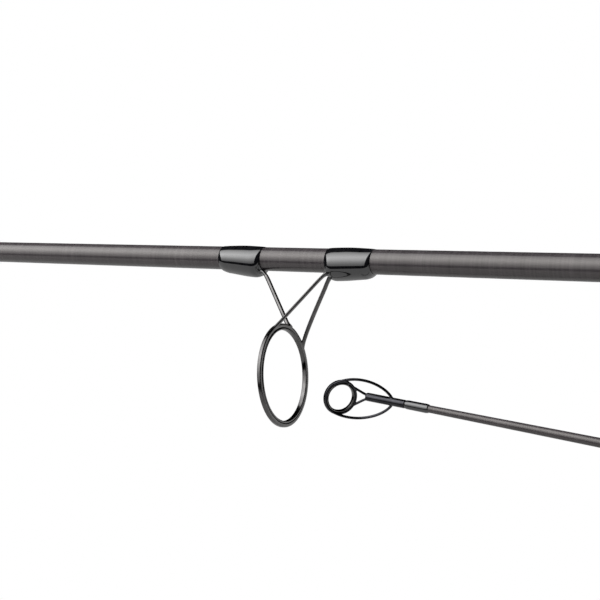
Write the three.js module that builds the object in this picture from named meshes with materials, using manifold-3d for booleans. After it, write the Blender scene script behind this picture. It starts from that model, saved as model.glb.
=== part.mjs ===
// A two-piece spinning rod, taken apart and laid down: the butt section with its grips, reel
// seat and large guide, and the tip section with its smaller guides and tip-top beside it.
// Millimetres, +Z up. Each section is modelled along its own local X axis, which runs from the
// tip side towards the butt, with its guides standing along local +Z.
import * as THREE from 'three';
import { mergeVertices } from 'three/addons/utils/BufferGeometryUtils.js';
import Module from 'manifold-3d';

const wasm = await Module();
wasm.setup();

// ---- driving dimensions: clearances and round counts ----
const GLUE_GAP = 0.12;            // between pieces that are glued, wrapped or pressed together
const RUNNING_GAP = 0.3;          // between pieces that move on each other
const SIDES = 20;                 // facets round the blanks, grips and seat
const WRAP_SIDES = 16;            // facets round the guides' epoxy wraps
const SMALL_SIDES = 12;           // facets round the thin tip pieces
const RING_SIDES = { large: 40, small: 16, top: 24 };
const LEG_STEPS = 10;             // straight pieces along a guide's leg
const ARM_STEPS = 12;
const CUT_OVERRUN = 1;            // how far a cutting tool runs past what it cuts

// ---- driving dimensions: butt section (s = distance from the butt end) ----
const BUTT_LENGTH = 940;
const GUIDE_TO_MALE_END = 240;    // butt guide's ring to the section's front end
const BUTT_BLANK_D = 10.2;        // blank diameter at the butt guide
const BUTT_TAPER = 0.004;         // diameter gained per mm towards the butt
const BLANK_WALL = 1.1;
const BLANK_INSET = 6;            // the blank's butt end sits this deep in the cap
const FLOOR_RADIUS = 13.5;        // the cap and the foregrip, the fattest pieces, rest on the floor

// ---- driving dimensions: handle ----
const CAP_LENGTH = 18;
const CAP_RIM_WALL = 2.5;         // the cap's flat end outside the disc
const CAP_DISC_THICKNESS = 1.6;
const CAP_ROUND = 3;
const TRIM_INSET = 0.4;           // the trim ring and the cap's mouth stand this far in
const TRIM_RING_LENGTH = 4;
const REAR_GRIP_LENGTH = 128;
const REAR_GRIP_FOAM = [6.4, 6.1, 5.4, 3.4];        // foam over the blank, from butt to front
const FOREGRIP_FOAM = [7.2, 7.9, 7.6, 6.3, 4.2];
const CHECK_LENGTH = 6;
const CHECK_WALLS = [3.1, 1.6];   // a winding check's wall at its thick and its thin end
const SEAT_START = 256;
const SEAT_LENGTH = 134;
const SEAT_WALL = 2.6;
const ARBOR_WALL = 1.6;
const ARBOR_LENGTH = 22;
const THREAD_INSET = 8;           // from the seat's rear end to the thread
const THREAD_LENGTH = 48;
const THREAD_DEPTH = 0.5;
const HOOD_LENGTH = 24;
const HOOD_WALL = 1.7;
const HOOD_CROWN_WALL = 2;
const HOOD_INSET = 32;            // from the seat's rear end to the open moving hood
const POCKET_HEIGHT = 5.4;        // clear height for the reel's foot under a hood
const POCKET_WIDTH = 12.4;
const FOOT_BED_DEPTH = 1.3;       // the flat for the reel's foot, below the seat's round
const POCKET_FLOOR_DEPTH = 1.7;   // the lower flats under the two hoods
const FOOT_BED_SLOT_WIDTH = 13;
const BED_OVERLAP = 1.5;          // the foot bed's ends run on under the hoods by this much
const POCKET_END_WALL = 6;        // solid closed end of a hood's pocket
const SEAT_POCKET_INSET = 18;     // a lower flat's far end, from its hood's open end
const HOOD_LIP = 0.8;
const NUT_LENGTH = 20;
const NUT_WALL = 2.6;
const NUT_FLUTES = 14;
const NUT_RING_LENGTH = 2.4;
const NUT_RING_WALL = 1;
const FLUTE_RADIUS = 0.9;
const FLUTE_INSET = 2.5;
const FOREGRIP_LENGTH = 54;
const FRONT_RING_LENGTH = 4;

// ---- driving dimensions: proportions of every guide ----
const INSERT_WALL_SHARE = 0.36;   // a ring's polished insert, over the ring's whole wall
const INSERT_DEPTH_SHARE = 1.2;   // the insert's depth over the frame's
const RING_BEVEL_SHARE = 0.28;
const WRAP_WIDENING = 0.5;        // a wrap's growth in radius, over its shift towards the guide
const KNEE_RISE_SHARE = 1.2;      // a foot's bend, over the leg's thickness
const KNEE_SHARE = 0.16;          // how much of a leg its bend takes
const ARRIVAL_SHARE = 0.28;       // how far from the ring a rear leg turns along it

// ---- driving dimensions: butt guide (local to its ring's station) ----
const BUTT_GUIDE = {
  name: 'butt_guide',
  station: 0,
  ringRadius: 21.3,
  ringSides: RING_SIDES.large,
  ringWall: 2.7,
  ringDepth: 1.7,
  height: 50.48,                  // blank's axis to the ring's centre
  lean: THREE.MathUtils.degToRad(5.25),
  legWidth: 2.2,
  legThickness: 1.2,
  frontFoot: { tip: -39.5, bend: -20.6 },
  rearFoot: { tip: 29.8, bend: 12.6 },
  rearSpread: 1.8,
  rearSplay: THREE.MathUtils.degToRad(43),
  frontWrap: { from: -41, to: -20.2, swellTip: 0.35, swellLeg: 1.5 },
  rearWrap: { from: 10.8, to: 31.7, swellTip: 1.1, swellLeg: 1.4 },
  wrapBuild: 0.85,
};

// ---- driving dimensions: tip section (t = distance from the tip-top tube's nose) ----
const TIP_LENGTH = 960;
const TIP_D = 2.75;               // blank diameter at the very tip
const FINE_TAPER = 0.0098;        // diameter gained per mm over the fine tip
const FINE_LENGTH = 250;
const TIP_BORE_START = 300;       // the fine tip is solid, the rest is a tube
const TIP_WALL = 0.8;
const FERRULE_OVERLAP = 72;       // how far the butt section goes into the sleeve
const SLEEVE_LENGTH = 118;
const SLEEVE_WALL = 1.0;
const FERRULE_CLEARANCE = 0.1;
const WHIPPING_LENGTH = 24;
const WHIPPING_BUILD = 0.6;
const WHIPPING_INSET = 2;         // whipping to the sleeve's mouth, and its tapered ends
const SHOULDER_LENGTH = 6;        // the sleeve reaches full wall this far before its step
const SECOND_GUIDE_TO_SLEEVE = 82;
const THIRD_GUIDE_STATION = 500;
const FOURTH_GUIDE_STATION = 310;
const FIFTH_GUIDE_STATION = 150;
const STANDARD_RING_RADIUS = 21.3;   // the ring that the small guides' leg lengths grow towards
const TIP_SPREAD = { yaw: THREE.MathUtils.degToRad(-5.8), roll: THREE.MathUtils.degToRad(20) };
const TIP_NOSE = { x: 29.3, y: -54.3 };
const TIP_REST_HEIGHT = 2.2;      // tip-top tube's axis above the floor
const SOCKET_REST_HEIGHT = 6.5;   // sleeve's axis above the floor at its mouth

// ---- driving dimensions: tip-top ----
const TUBE_LENGTH = 17.8;
const TUBE_RADIUS = 1.74;
const TUBE_BORE = 1.56;
const TUBE_NOSE = 1.2;
const TOP_RING = { radius: 7.35, wall: 1.9, depth: 1.7, ahead: 8.2, height: 7.4 };
const TOP_TILT = THREE.MathUtils.degToRad(38);
const ARM_THICKNESS = 1.25;
const ARM_ROOT = 11.9;            // t where the side arms leave the tube
const ARM_ANGLE = THREE.MathUtils.degToRad(49);     // where they meet the ring, from its top
const FORK_THICKNESS = 1.05;
const FORK_ANGLE = THREE.MathUtils.degToRad(144);   // where the nose's fork meets the ring
const TOP_INSERT_SHARE = 0.4;
const TIP_WRAP_LENGTH = 10.6;
const TIP_WRAP_BUILD = 0.42;

// ---- worked-out dimensions ----
const CAP_DISC_RADIUS = FLOOR_RADIUS - CAP_ROUND - CAP_RIM_WALL;
const TRIM_RADIUS = FLOOR_RADIUS - TRIM_INSET;
const RING_CENTRE_DROP = BUTT_GUIDE.ringRadius - FLOOR_RADIUS;
const GUIDE_RISE = Math.asin(RING_CENTRE_DROP / BUTT_GUIDE.height);
const SEAT_END = SEAT_START + SEAT_LENGTH;
const HOOD_START = SEAT_START + HOOD_INSET;
const FIXED_HOOD_START = SEAT_END - HOOD_LENGTH;
const FOREGRIP_START = SEAT_END + FRONT_RING_LENGTH;
const FOREGRIP_END = FOREGRIP_START + FOREGRIP_LENGTH;
const TIP_BASE = TIP_LENGTH - FERRULE_OVERLAP;
const MALE_END_D = BUTT_BLANK_D - BUTT_TAPER * GUIDE_TO_MALE_END;
const TIP_BASE_D = MALE_END_D - 2 * GLUE_GAP;

const GUIDE_STATION = BUTT_LENGTH - GUIDE_TO_MALE_END;   // s where local x is 0
const buttX = (s) => GUIDE_STATION - s;
const buttBlankRadius = (s) => (BUTT_BLANK_D + BUTT_TAPER * buttX(s)) / 2;

const SEAT_BORE_RADIUS = buttBlankRadius(SEAT_START) + GLUE_GAP + ARBOR_WALL + GLUE_GAP;
const SEAT_RADIUS = SEAT_BORE_RADIUS + SEAT_WALL;
const THREAD_RADIUS = SEAT_RADIUS - THREAD_DEPTH;
const FOOT_BED_HEIGHT = SEAT_RADIUS - FOOT_BED_DEPTH;
const POCKET_FLOOR = SEAT_RADIUS - POCKET_FLOOR_DEPTH;
const HOOD_CREST = POCKET_FLOOR + POCKET_HEIGHT + HOOD_CROWN_WALL;
const NUT_RADIUS = THREAD_RADIUS + RUNNING_GAP + NUT_WALL;
const HANDLE_RING_RADIUS = SEAT_RADIUS + RUNNING_GAP + HOOD_WALL;

function tipBlankRadius(t) {
  const fineEnd = TIP_D + FINE_TAPER * FINE_LENGTH;
  if (t <= FINE_LENGTH) return (TIP_D + FINE_TAPER * t) / 2;
  const share = (t - FINE_LENGTH) / (TIP_BASE - FINE_LENGTH);
  return THREE.MathUtils.lerp(fineEnd, TIP_BASE_D, share) / 2;
}

// ---- materials ----
const material = (color, roughness, metalness) =>
  new THREE.MeshStandardMaterial({ color, roughness, metalness });
const CARBON = material(0x45403d, 0.42, 0.35);
const EPOXY = material(0x08080a, 0.06, 0.0);
const SMOKE_METAL = material(0x55504c, 0.26, 0.95);
const BLACK_METAL = material(0x17171a, 0.22, 0.85);
const RING_METAL = material(0x6a6662, 0.16, 0.95);
const FOAM = material(0x1d1d1f, 0.95, 0.0);
const RUBBER = material(0x131314, 0.8, 0.0);
const SEAT_PLASTIC = material(0x151517, 0.35, 0.1);
const TRIM_METAL = material(0x6f6d6b, 0.25, 0.95);

// ---- solids: geometry in and out of the boolean library ----
function toSolid(geometry) {
  const plain = geometry.clone();
  plain.deleteAttribute('normal');
  plain.deleteAttribute('uv');
  const welded = mergeVertices(plain, 1e-4);
  const index = welded.index.array;
  const kept = [];
  for (let i = 0; i < index.length; i += 3) {
    const [a, b, c] = [index[i], index[i + 1], index[i + 2]];
    if (a !== b && b !== c && c !== a) kept.push(a, b, c);
  }
  if (signedVolume(welded.attributes.position, kept) < 0) {
    for (let i = 0; i < kept.length; i += 3) {
      [kept[i + 1], kept[i + 2]] = [kept[i + 2], kept[i + 1]];
    }
  }
  return new wasm.Manifold(new wasm.Mesh({
    numProp: 3,
    vertProperties: new Float32Array(welded.attributes.position.array),
    triVerts: new Uint32Array(kept),
  }));
}

function signedVolume(position, triangles) {
  const [a, b, c] = [new THREE.Vector3(), new THREE.Vector3(), new THREE.Vector3()];
  let volume = 0;
  for (let i = 0; i < triangles.length; i += 3) {
    a.fromBufferAttribute(position, triangles[i]);
    b.fromBufferAttribute(position, triangles[i + 1]);
    c.fromBufferAttribute(position, triangles[i + 2]);
    volume += a.dot(b.cross(c)) / 6;
  }
  return volume;
}

function toGeometry(solid) {
  const mesh = solid.getMesh();
  const geometry = new THREE.BufferGeometry();
  geometry.setAttribute('position', new THREE.BufferAttribute(new Float32Array(mesh.vertProperties), 3));
  geometry.setIndex(new THREE.BufferAttribute(new Uint32Array(mesh.triVerts), 1));
  geometry.computeVertexNormals();
  return geometry;
}

const join = (...solids) => solids.reduce((whole, next) => whole.add(next));
const cut = (solid, ...tools) => tools.reduce((whole, tool) => whole.subtract(tool), solid);

function addPiece(parent, name, solid, look) {
  const mesh = new THREE.Mesh(toGeometry(solid), look);
  mesh.name = name;
  parent.add(mesh);
}

// ---- shapes along the local X axis ----

// A closed outline of [x, radius] points turned about the X axis.
function turned(outline, sides = SIDES) {
  const points = outline.map(([x, radius]) => new THREE.Vector2(radius, x));
  const geometry = new THREE.LatheGeometry(points, sides);
  geometry.rotateZ(-Math.PI / 2);
  return toSolid(geometry);
}

// A tube between two radius profiles: outer and inner are [x, radius] lists in rising x.
function sleeve(outer, inner, sides = SIDES) {
  return turned([...outer, ...[...inner].reverse(), outer[0]], sides);
}

// A solid bar: profile is an [x, radius] list in rising x.
function bar(profile, sides = SIDES) {
  const first = profile[0][0];
  const last = profile[profile.length - 1][0];
  return turned([[first, 0], ...profile, [last, 0]], sides);
}

// A box from one corner to the other.
function block(low, high) {
  const geometry = new THREE.BoxGeometry(high[0] - low[0], high[1] - low[1], high[2] - low[2]);
  geometry.translate((low[0] + high[0]) / 2, (low[1] + high[1]) / 2, (low[2] + high[2]) / 2);
  return toSolid(geometry);
}

// A ring whose hole runs along X, with the corners of its section bevelled.
function hoop(outerRadius, innerRadius, depth, bevel, sides) {
  const half = depth / 2;
  return turned([
    [-half, innerRadius + bevel], [-half, outerRadius - bevel],
    [-half + bevel, outerRadius], [half - bevel, outerRadius],
    [half, outerRadius - bevel], [half, innerRadius + bevel],
    [half - bevel, innerRadius], [-half + bevel, innerRadius],
    [-half, innerRadius + bevel],
  ], sides);
}

// A flat strip or a wire swept along a path. The path starts along X, so the section's first
// axis is the thickness and its second the width.
function swept(path, width, thickness, steps, corners = 3) {
  const section = new THREE.Shape();
  section.absellipse(0, 0, thickness / 2, width / 2, 0, 2 * Math.PI);
  const geometry = new THREE.ExtrudeGeometry(section, {
    steps, extrudePath: path, curveSegments: corners, bevelEnabled: false,
  });
  return toSolid(geometry);
}

const vec = (x, y, z) => new THREE.Vector3(x, y, z);

// A foot that lies along the blank, bends up, and runs to its end point, which it meets along
// the given direction.
function footedPath(footTip, bend, rise, end, arrival) {
  const path = new THREE.CurvePath();
  path.add(new THREE.LineCurve3(footTip, bend));
  const along = bend.clone().sub(footTip).normalize();
  const kneeIn = bend.clone().addScaledVector(along, rise);
  const legStart = kneeIn.clone().lerp(end, KNEE_SHARE);
  path.add(new THREE.QuadraticBezierCurve3(bend, kneeIn, legStart));
  if (arrival) {
    const easeIn = end.clone().sub(arrival);
    path.add(new THREE.CubicBezierCurve3(legStart, legStart.clone().lerp(easeIn, 0.5), easeIn, end));
  } else {
    path.add(new THREE.LineCurve3(legStart, end));
  }
  return path;
}

// ---- guides ----

// The swelling of epoxy over a foot: a turned profile whose circles shift towards the guide.
function swollenWrap(from, to, blankAt, build, shiftFrom, shiftTo) {
  const length = to - from;
  const stations = [0, 0.05, 0.2, 0.5, 0.8, 0.95, 1];
  const edge = 0.3;
  const profile = stations.map((share) => {
    const fullness = Math.sqrt(Math.sin(Math.PI * THREE.MathUtils.clamp(share, 0.02, 0.98)));
    const x = from + share * length;
    const widening = WRAP_WIDENING * Math.max(shiftFrom, shiftTo) * fullness;
    return [x, blankAt(x) + edge + (build - edge) * fullness + widening];
  });
  const points = [[from, 0], ...profile, [to, 0]].map(([x, r]) => new THREE.Vector2(r, x));
  const geometry = new THREE.LatheGeometry(points, WRAP_SIDES);
  geometry.rotateZ(-Math.PI / 2);
  const position = geometry.attributes.position;
  for (let i = 0; i < position.count; i += 1) {
    const share = (position.getX(i) - from) / length;
    const fullness = Math.sqrt(Math.sin(Math.PI * THREE.MathUtils.clamp(share, 0.04, 0.96)));
    const shift = THREE.MathUtils.lerp(shiftFrom, shiftTo, share) * fullness;
    position.setZ(i, position.getZ(i) + shift);
  }
  return toSolid(geometry);
}

function guideWrap(section, guide, name, wrap, blankAt, legs, atTip) {
  const towardsRing = atTip ? [wrap.swellTip, wrap.swellLeg] : [wrap.swellLeg, wrap.swellTip];
  const body = swollenWrap(wrap.from, wrap.to, blankAt, guide.wrapBuild, ...towardsRing);
  const low = wrap.from - CUT_OVERRUN;
  const high = wrap.to + CUT_OVERRUN;
  const blank = bar([[low, blankAt(low) + GLUE_GAP], [high, blankAt(high) + GLUE_GAP]]);
  const epoxy = cut(body, blank, ...legs).translate(guide.station, 0, 0);
  addPiece(section, `${guide.name}_${name}`, epoxy, EPOXY);
}

const ringInsertWall = (guide) => guide.ringWall * INSERT_WALL_SHARE;
const ringFrameInner = (guide) => guide.ringRadius - guide.ringWall + ringInsertWall(guide);

// The guide's legs joined to its ring, the ring's insert, and, given back, the tunnels that the
// legs need through their wraps.
function guideBody(section, guide, paths) {
  const frameInner = ringFrameInner(guide);
  const sides = guide.ringSides;
  const place = (solid) => solid
    .rotate([0, THREE.MathUtils.radToDeg(guide.lean), 0])
    .translate(0, 0, guide.height);
  const frame = place(hoop(guide.ringRadius, frameInner, guide.ringDepth,
    guide.ringDepth * RING_BEVEL_SHARE, sides));
  const insert = place(hoop(frameInner - GLUE_GAP, guide.ringRadius - guide.ringWall,
    guide.ringDepth * INSERT_DEPTH_SHARE, 0, sides));
  const reach = guide.ringRadius;
  const hole = place(bar([[-reach, frameInner], [reach, frameInner]], sides));
  const leg = (path, slack) =>
    swept(path, guide.legWidth + slack, guide.legThickness + slack, LEG_STEPS);
  const legs = paths.map((path) => cut(leg(path, 0), hole));
  addPiece(section, `${guide.name}_frame`,
    join(...legs, frame).translate(guide.station, 0, 0), SMOKE_METAL);
  addPiece(section, `${guide.name}_ring`, insert.translate(guide.station, 0, 0), RING_METAL);
  return paths.map((path) => leg(path, 2 * GLUE_GAP));
}

// The point in the middle of the ring's frame at an angle from the point nearest the blank.
function ringPoint(guide, angle, side) {
  const radius = (guide.ringRadius + ringFrameInner(guide)) / 2;
  const upRing = vec(Math.sin(guide.lean), 0, Math.cos(guide.lean));
  const point = vec(0, side * radius * Math.sin(angle), guide.height);
  return point.addScaledVector(upRing, -radius * Math.cos(angle));
}

// The height of a foot's middle line above the blank's axis, at a distance to one side of it.
function footHeight(guide, blankAt, x, spread) {
  const bed = blankAt(x) + GLUE_GAP;
  const inner = Math.max(spread - guide.legWidth / 2, 0);
  return Math.sqrt(Math.max(bed * bed - inner * inner, 0)) + GLUE_GAP + guide.legThickness / 2;
}

// A guide on three legs: one foot on the tip side, two on the butt side.
function threeLegGuide(section, guide, blankAt) {
  const footLine = (foot, spread) => {
    const z = Math.max(footHeight(guide, blankAt, foot.bend, Math.abs(spread)),
      footHeight(guide, blankAt, foot.tip, Math.abs(spread)));
    return [vec(foot.tip, spread, z), vec(foot.bend, spread, z)];
  };
  const kneeRise = guide.legThickness * KNEE_RISE_SHARE;
  const frontPath = footedPath(...footLine(guide.frontFoot, 0), kneeRise, ringPoint(guide, 0, 1));
  const rearPaths = [-1, 1].map((side) => {
    const end = ringPoint(guide, guide.rearSplay, side);
    const arrival = vec(0, side * Math.cos(guide.rearSplay), Math.sin(guide.rearSplay))
      .multiplyScalar(guide.ringRadius * ARRIVAL_SHARE);
    return footedPath(...footLine(guide.rearFoot, side * guide.rearSpread), kneeRise, end, arrival);
  });
  const tunnels = guideBody(section, guide, [frontPath, ...rearPaths]);
  guideWrap(section, guide, 'front_wrap', guide.frontWrap, blankAt, tunnels, true);
  guideWrap(section, guide, 'rear_wrap', guide.rearWrap, blankAt, tunnels, false);
}

// A guide on one foot, which lies on the tip side and forks to the ring's two flanks.
function oneFootGuide(section, guide, blankAt) {
  const z = blankAt(guide.foot.bend) + 2 * GLUE_GAP + guide.legThickness / 2;
  const tip = vec(guide.foot.tip, 0, z);
  const bend = vec(guide.foot.bend, 0, z);
  const ends = [
    ringPoint(guide, 0, 1),
    ringPoint(guide, guide.splay, -1),
    ringPoint(guide, guide.splay, 1),
  ];
  const paths = ends.map((end) => footedPath(tip, bend, guide.legThickness, end));
  const tunnels = guideBody(section, guide, paths);
  guideWrap(section, guide, 'wrap', guide.wrap, blankAt, tunnels, true);
}

// A smaller guide of the butt guide's pattern.
function smallThreeLegGuide(name, station, ringRadius, height) {
  const k = ringRadius / STANDARD_RING_RADIUS;
  const rearFoot = { tip: 6 + 20 * k, bend: 1.5 + 12 * k };
  return {
    ...BUTT_GUIDE, name, station, ringRadius, height,
    ringSides: RING_SIDES.small,
    ringWall: 1.3 + 1.15 * k,
    ringDepth: 1.4,
    legWidth: 1.5,
    legThickness: 0.95,
    frontFoot: { tip: -(14 + 26 * k), bend: -(3 + 17.6 * k) },
    rearFoot,
    rearSpread: 1.1,
    frontWrap: { from: -(15 + 28 * k), to: -(4.2 + 17.6 * k), swellTip: 0.2, swellLeg: 0.75 },
    rearWrap: { from: rearFoot.bend - 3.4, to: rearFoot.tip + 1.6, swellTip: 0.6, swellLeg: 0.7 },
    wrapBuild: 0.7,
  };
}

function smallOneFootGuide(name, station) {
  return {
    name, station,
    ringRadius: 6.6,
    ringSides: RING_SIDES.small,
    ringWall: 1.5,
    ringDepth: 1.4,
    height: 13.4,
    lean: THREE.MathUtils.degToRad(-8),
    legWidth: 1.3,
    legThickness: 0.85,
    foot: { tip: -19, bend: -7.5 },
    splay: THREE.MathUtils.degToRad(58),
    wrap: { from: -20.5, to: -8.6, swellTip: 0.2, swellLeg: 0.6 },
    wrapBuild: 0.6,
  };
}

// ---- butt section ----

// A tube on the butt blank between two distances from the butt end, with outer radii at even steps.
function onButtBlank(from, to, radii, bevel = 0) {
  const high = buttX(from);
  const low = buttX(to);
  const radiusList = [...radii].reverse();
  const last = radiusList.length - 1;
  const outer = [];
  if (bevel) outer.push([low, radiusList[0] - bevel]);
  radiusList.forEach((radius, i) => {
    const inset = bevel && i === 0 ? bevel : bevel && i === last ? -bevel : 0;
    outer.push([low + (high - low) * i / last + inset, radius]);
  });
  if (bevel) outer.push([high, radiusList[last] - bevel]);
  const inner = [
    [low, buttBlankRadius(to) + GLUE_GAP],
    [high, buttBlankRadius(from) + GLUE_GAP],
  ];
  return sleeve(outer, inner);
}

function buttBlank(section) {
  const low = buttX(BUTT_LENGTH);
  const high = buttX(BLANK_INSET);
  const wallRadius = (s) => buttBlankRadius(s) - BLANK_WALL;
  addPiece(section, 'butt_blank', sleeve(
    [[low, buttBlankRadius(BUTT_LENGTH)], [high, buttBlankRadius(BLANK_INSET)]],
    [[low, wallRadius(BUTT_LENGTH)], [high, wallRadius(BLANK_INSET)]]), CARBON);
  const plugDepth = 9;
  const plugHead = 2.2;
  addPiece(section, 'blank_end_plug', bar([
    [low - GLUE_GAP - plugHead, buttBlankRadius(BUTT_LENGTH) - 1.2],
    [low - GLUE_GAP - plugHead * 0.4, buttBlankRadius(BUTT_LENGTH) - 0.3],
    [low - GLUE_GAP, buttBlankRadius(BUTT_LENGTH) - 0.3],
    [low - GLUE_GAP, wallRadius(BUTT_LENGTH) - GLUE_GAP],
    [low + plugDepth, wallRadius(BUTT_LENGTH) - GLUE_GAP],
  ]), RUBBER);
}

function buttCap(section) {
  const end = buttX(0);
  const mouth = buttX(CAP_LENGTH);
  const blankEnd = buttX(BLANK_INSET);
  const pocket = CAP_DISC_THICKNESS + GLUE_GAP;
  const rim = CAP_DISC_RADIUS + GLUE_GAP;
  const grip = buttBlankRadius(BLANK_INSET) + GLUE_GAP;
  addPiece(section, 'butt_cap', turned([
    [mouth, grip], [mouth, TRIM_RADIUS], [mouth + 1, FLOOR_RADIUS],
    [end - CAP_ROUND, FLOOR_RADIUS], [end - CAP_ROUND * 0.3, FLOOR_RADIUS - CAP_ROUND * 0.3],
    [end, FLOOR_RADIUS - CAP_ROUND], [end, rim], [end - pocket, rim], [end - pocket, 0],
    [blankEnd + GLUE_GAP, 0], [blankEnd + GLUE_GAP, grip], [mouth, grip],
  ]), RUBBER);
  addPiece(section, 'butt_cap_disc', bar([
    [end - CAP_DISC_THICKNESS, CAP_DISC_RADIUS], [end, CAP_DISC_RADIUS],
  ]), TRIM_METAL);
}

// Radii that lie a list of wall thicknesses outside the blank.
function overBlank(from, to, walls) {
  const step = (to - from) / (walls.length - 1);
  return walls.map((wall, i) => buttBlankRadius(from + i * step) + wall);
}

function windingCheck(section, name, from) {
  const to = from + CHECK_LENGTH - GLUE_GAP;
  addPiece(section, name, onButtBlank(from, to, overBlank(from, to, CHECK_WALLS), 0.5), TRIM_METAL);
}

function rearHandle(section) {
  const ringEnd = CAP_LENGTH + TRIM_RING_LENGTH;
  const gripEnd = ringEnd + REAR_GRIP_LENGTH;
  addPiece(section, 'butt_trim_ring',
    onButtBlank(CAP_LENGTH + GLUE_GAP, ringEnd - GLUE_GAP, [TRIM_RADIUS, TRIM_RADIUS], 0.5), TRIM_METAL);
  addPiece(section, 'rear_grip',
    onButtBlank(ringEnd, gripEnd, overBlank(ringEnd, gripEnd, REAR_GRIP_FOAM), 1), FOAM);
  windingCheck(section, 'rear_grip_check', gripEnd + GLUE_GAP);
}

function hoodShell(from, to) {
  const bore = SEAT_RADIUS + RUNNING_GAP;
  const outer = bore + HOOD_WALL;
  const low = buttX(to);
  const high = buttX(from);
  const bevel = 0.8;
  const ring = bar([
    [low, outer - bevel], [low + bevel, outer], [high - bevel, outer], [high, outer - bevel],
  ]);
  const crownHalf = POCKET_WIDTH / 2 + HOOD_WALL;
  const crown = block([low + HOOD_LIP, -crownHalf, 0], [high - HOOD_LIP, crownHalf, HOOD_CREST]);
  const bores = bar([[low - CUT_OVERRUN, bore], [high + CUT_OVERRUN, bore]]);
  return { body: cut(join(ring, crown), bores), low, high };
}

// The slot that the reel's foot slides into, open towards the middle of the seat only.
function footPocket(openEnd, closedEnd) {
  const low = Math.min(openEnd, closedEnd);
  const high = Math.max(openEnd, closedEnd);
  return block([low, -POCKET_WIDTH / 2, 0], [high, POCKET_WIDTH / 2, POCKET_FLOOR + POCKET_HEIGHT]);
}

function reelSeat(section, hoodGroup) {
  const low = buttX(SEAT_END);
  const high = buttX(SEAT_START);
  const threadHigh = buttX(SEAT_START + THREAD_INSET);
  const threadLow = threadHigh - THREAD_LENGTH;
  const barrel = sleeve([
    [low, SEAT_RADIUS], [threadLow, SEAT_RADIUS], [threadLow + 0.6, THREAD_RADIUS],
    [threadHigh, THREAD_RADIUS], [threadHigh + 0.6, SEAT_RADIUS], [high, SEAT_RADIUS],
  ], [[low, SEAT_BORE_RADIUS], [high, SEAT_BORE_RADIUS]]);
  const bedLow = buttX(FIXED_HOOD_START) + BED_OVERLAP;
  const bedHigh = buttX(HOOD_START + HOOD_LENGTH) - BED_OVERLAP;
  const deep = SEAT_RADIUS + CUT_OVERRUN;
  const halfSlot = FOOT_BED_SLOT_WIDTH / 2;
  const flats = [
    block([bedLow, -halfSlot, FOOT_BED_HEIGHT], [bedHigh, halfSlot, deep]),
    block([buttX(FIXED_HOOD_START + SEAT_POCKET_INSET), -halfSlot, POCKET_FLOOR],
      [bedLow, halfSlot, deep]),
    block([bedHigh, -halfSlot, POCKET_FLOOR],
      [buttX(HOOD_START + HOOD_LENGTH - SEAT_POCKET_INSET - BED_OVERLAP), halfSlot, deep]),
  ];
  addPiece(section, 'reel_seat_body', cut(barrel, ...flats), SEAT_PLASTIC);

  const fixed = hoodShell(FIXED_HOOD_START, SEAT_END - GLUE_GAP);
  const fixedPocket = footPocket(fixed.high + CUT_OVERRUN, fixed.low + POCKET_END_WALL);
  addPiece(section, 'fixed_hood', cut(fixed.body, fixedPocket), SEAT_PLASTIC);

  const moving = hoodShell(HOOD_START, HOOD_START + HOOD_LENGTH);
  const movingPocket = footPocket(moving.low - CUT_OVERRUN, moving.high - POCKET_END_WALL);
  addPiece(hoodGroup, 'moving_hood', cut(moving.body, movingPocket), SEAT_PLASTIC);
}

function seatFittings(section) {
  addPiece(section, 'seat_rear_check', onButtBlank(SEAT_START - CHECK_LENGTH, SEAT_START - GLUE_GAP,
    [SEAT_BORE_RADIUS, SEAT_RADIUS + 0.6], 0.5), TRIM_METAL);
  const arborRadius = SEAT_BORE_RADIUS - GLUE_GAP;
  const arborInset = 8;
  const arbors = {
    seat_arbor_rear: SEAT_START + arborInset,
    seat_arbor_front: SEAT_END - arborInset - ARBOR_LENGTH,
  };
  for (const [name, start] of Object.entries(arbors)) {
    addPiece(section, name, onButtBlank(start, start + ARBOR_LENGTH, [arborRadius, arborRadius]), FOAM);
  }
}

// The fluted nut that drives the moving hood, with a metal ring let into its rear edge.
function lockNut(nutGroup) {
  const low = buttX(HOOD_START) + RUNNING_GAP;
  const high = low + NUT_LENGTH;
  const shoulder = high - NUT_RING_LENGTH;
  const spigot = NUT_RADIUS - NUT_RING_WALL;
  const bore = THREAD_RADIUS + RUNNING_GAP;
  const bevel = 0.8;
  const sides = NUT_FLUTES * 2;
  const body = sleeve([
    [low, NUT_RADIUS - bevel], [low + bevel, NUT_RADIUS], [shoulder, NUT_RADIUS],
    [shoulder, spigot], [high, spigot],
  ], [[low, bore], [high, bore]], sides);
  const flutes = [];
  for (let i = 0; i < NUT_FLUTES; i += 1) {
    const flute = bar([[low + FLUTE_INSET, FLUTE_RADIUS], [shoulder - FLUTE_INSET, FLUTE_RADIUS]], 8);
    flutes.push(flute.translate(0, 0, NUT_RADIUS + 0.2).rotate([(360 * i) / NUT_FLUTES, 0, 0]));
  }
  addPiece(nutGroup, 'lock_nut', cut(body, ...flutes), SEAT_PLASTIC);
  addPiece(nutGroup, 'lock_nut_ring', sleeve(
    [[shoulder + GLUE_GAP, NUT_RADIUS], [high, NUT_RADIUS - 0.3]],
    [[shoulder + GLUE_GAP, spigot + GLUE_GAP], [high, spigot + GLUE_GAP]], sides), TRIM_METAL);
}

function frontHandle(section) {
  addPiece(section, 'seat_front_ring', onButtBlank(SEAT_END + GLUE_GAP, FOREGRIP_START - GLUE_GAP,
    [HANDLE_RING_RADIUS, HANDLE_RING_RADIUS], 0.5), TRIM_METAL);
  addPiece(section, 'foregrip', onButtBlank(FOREGRIP_START, FOREGRIP_END,
    overBlank(FOREGRIP_START, FOREGRIP_END, FOREGRIP_FOAM), 0.8), FOAM);
  windingCheck(section, 'front_winding_check', FOREGRIP_END + GLUE_GAP);
}

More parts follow.
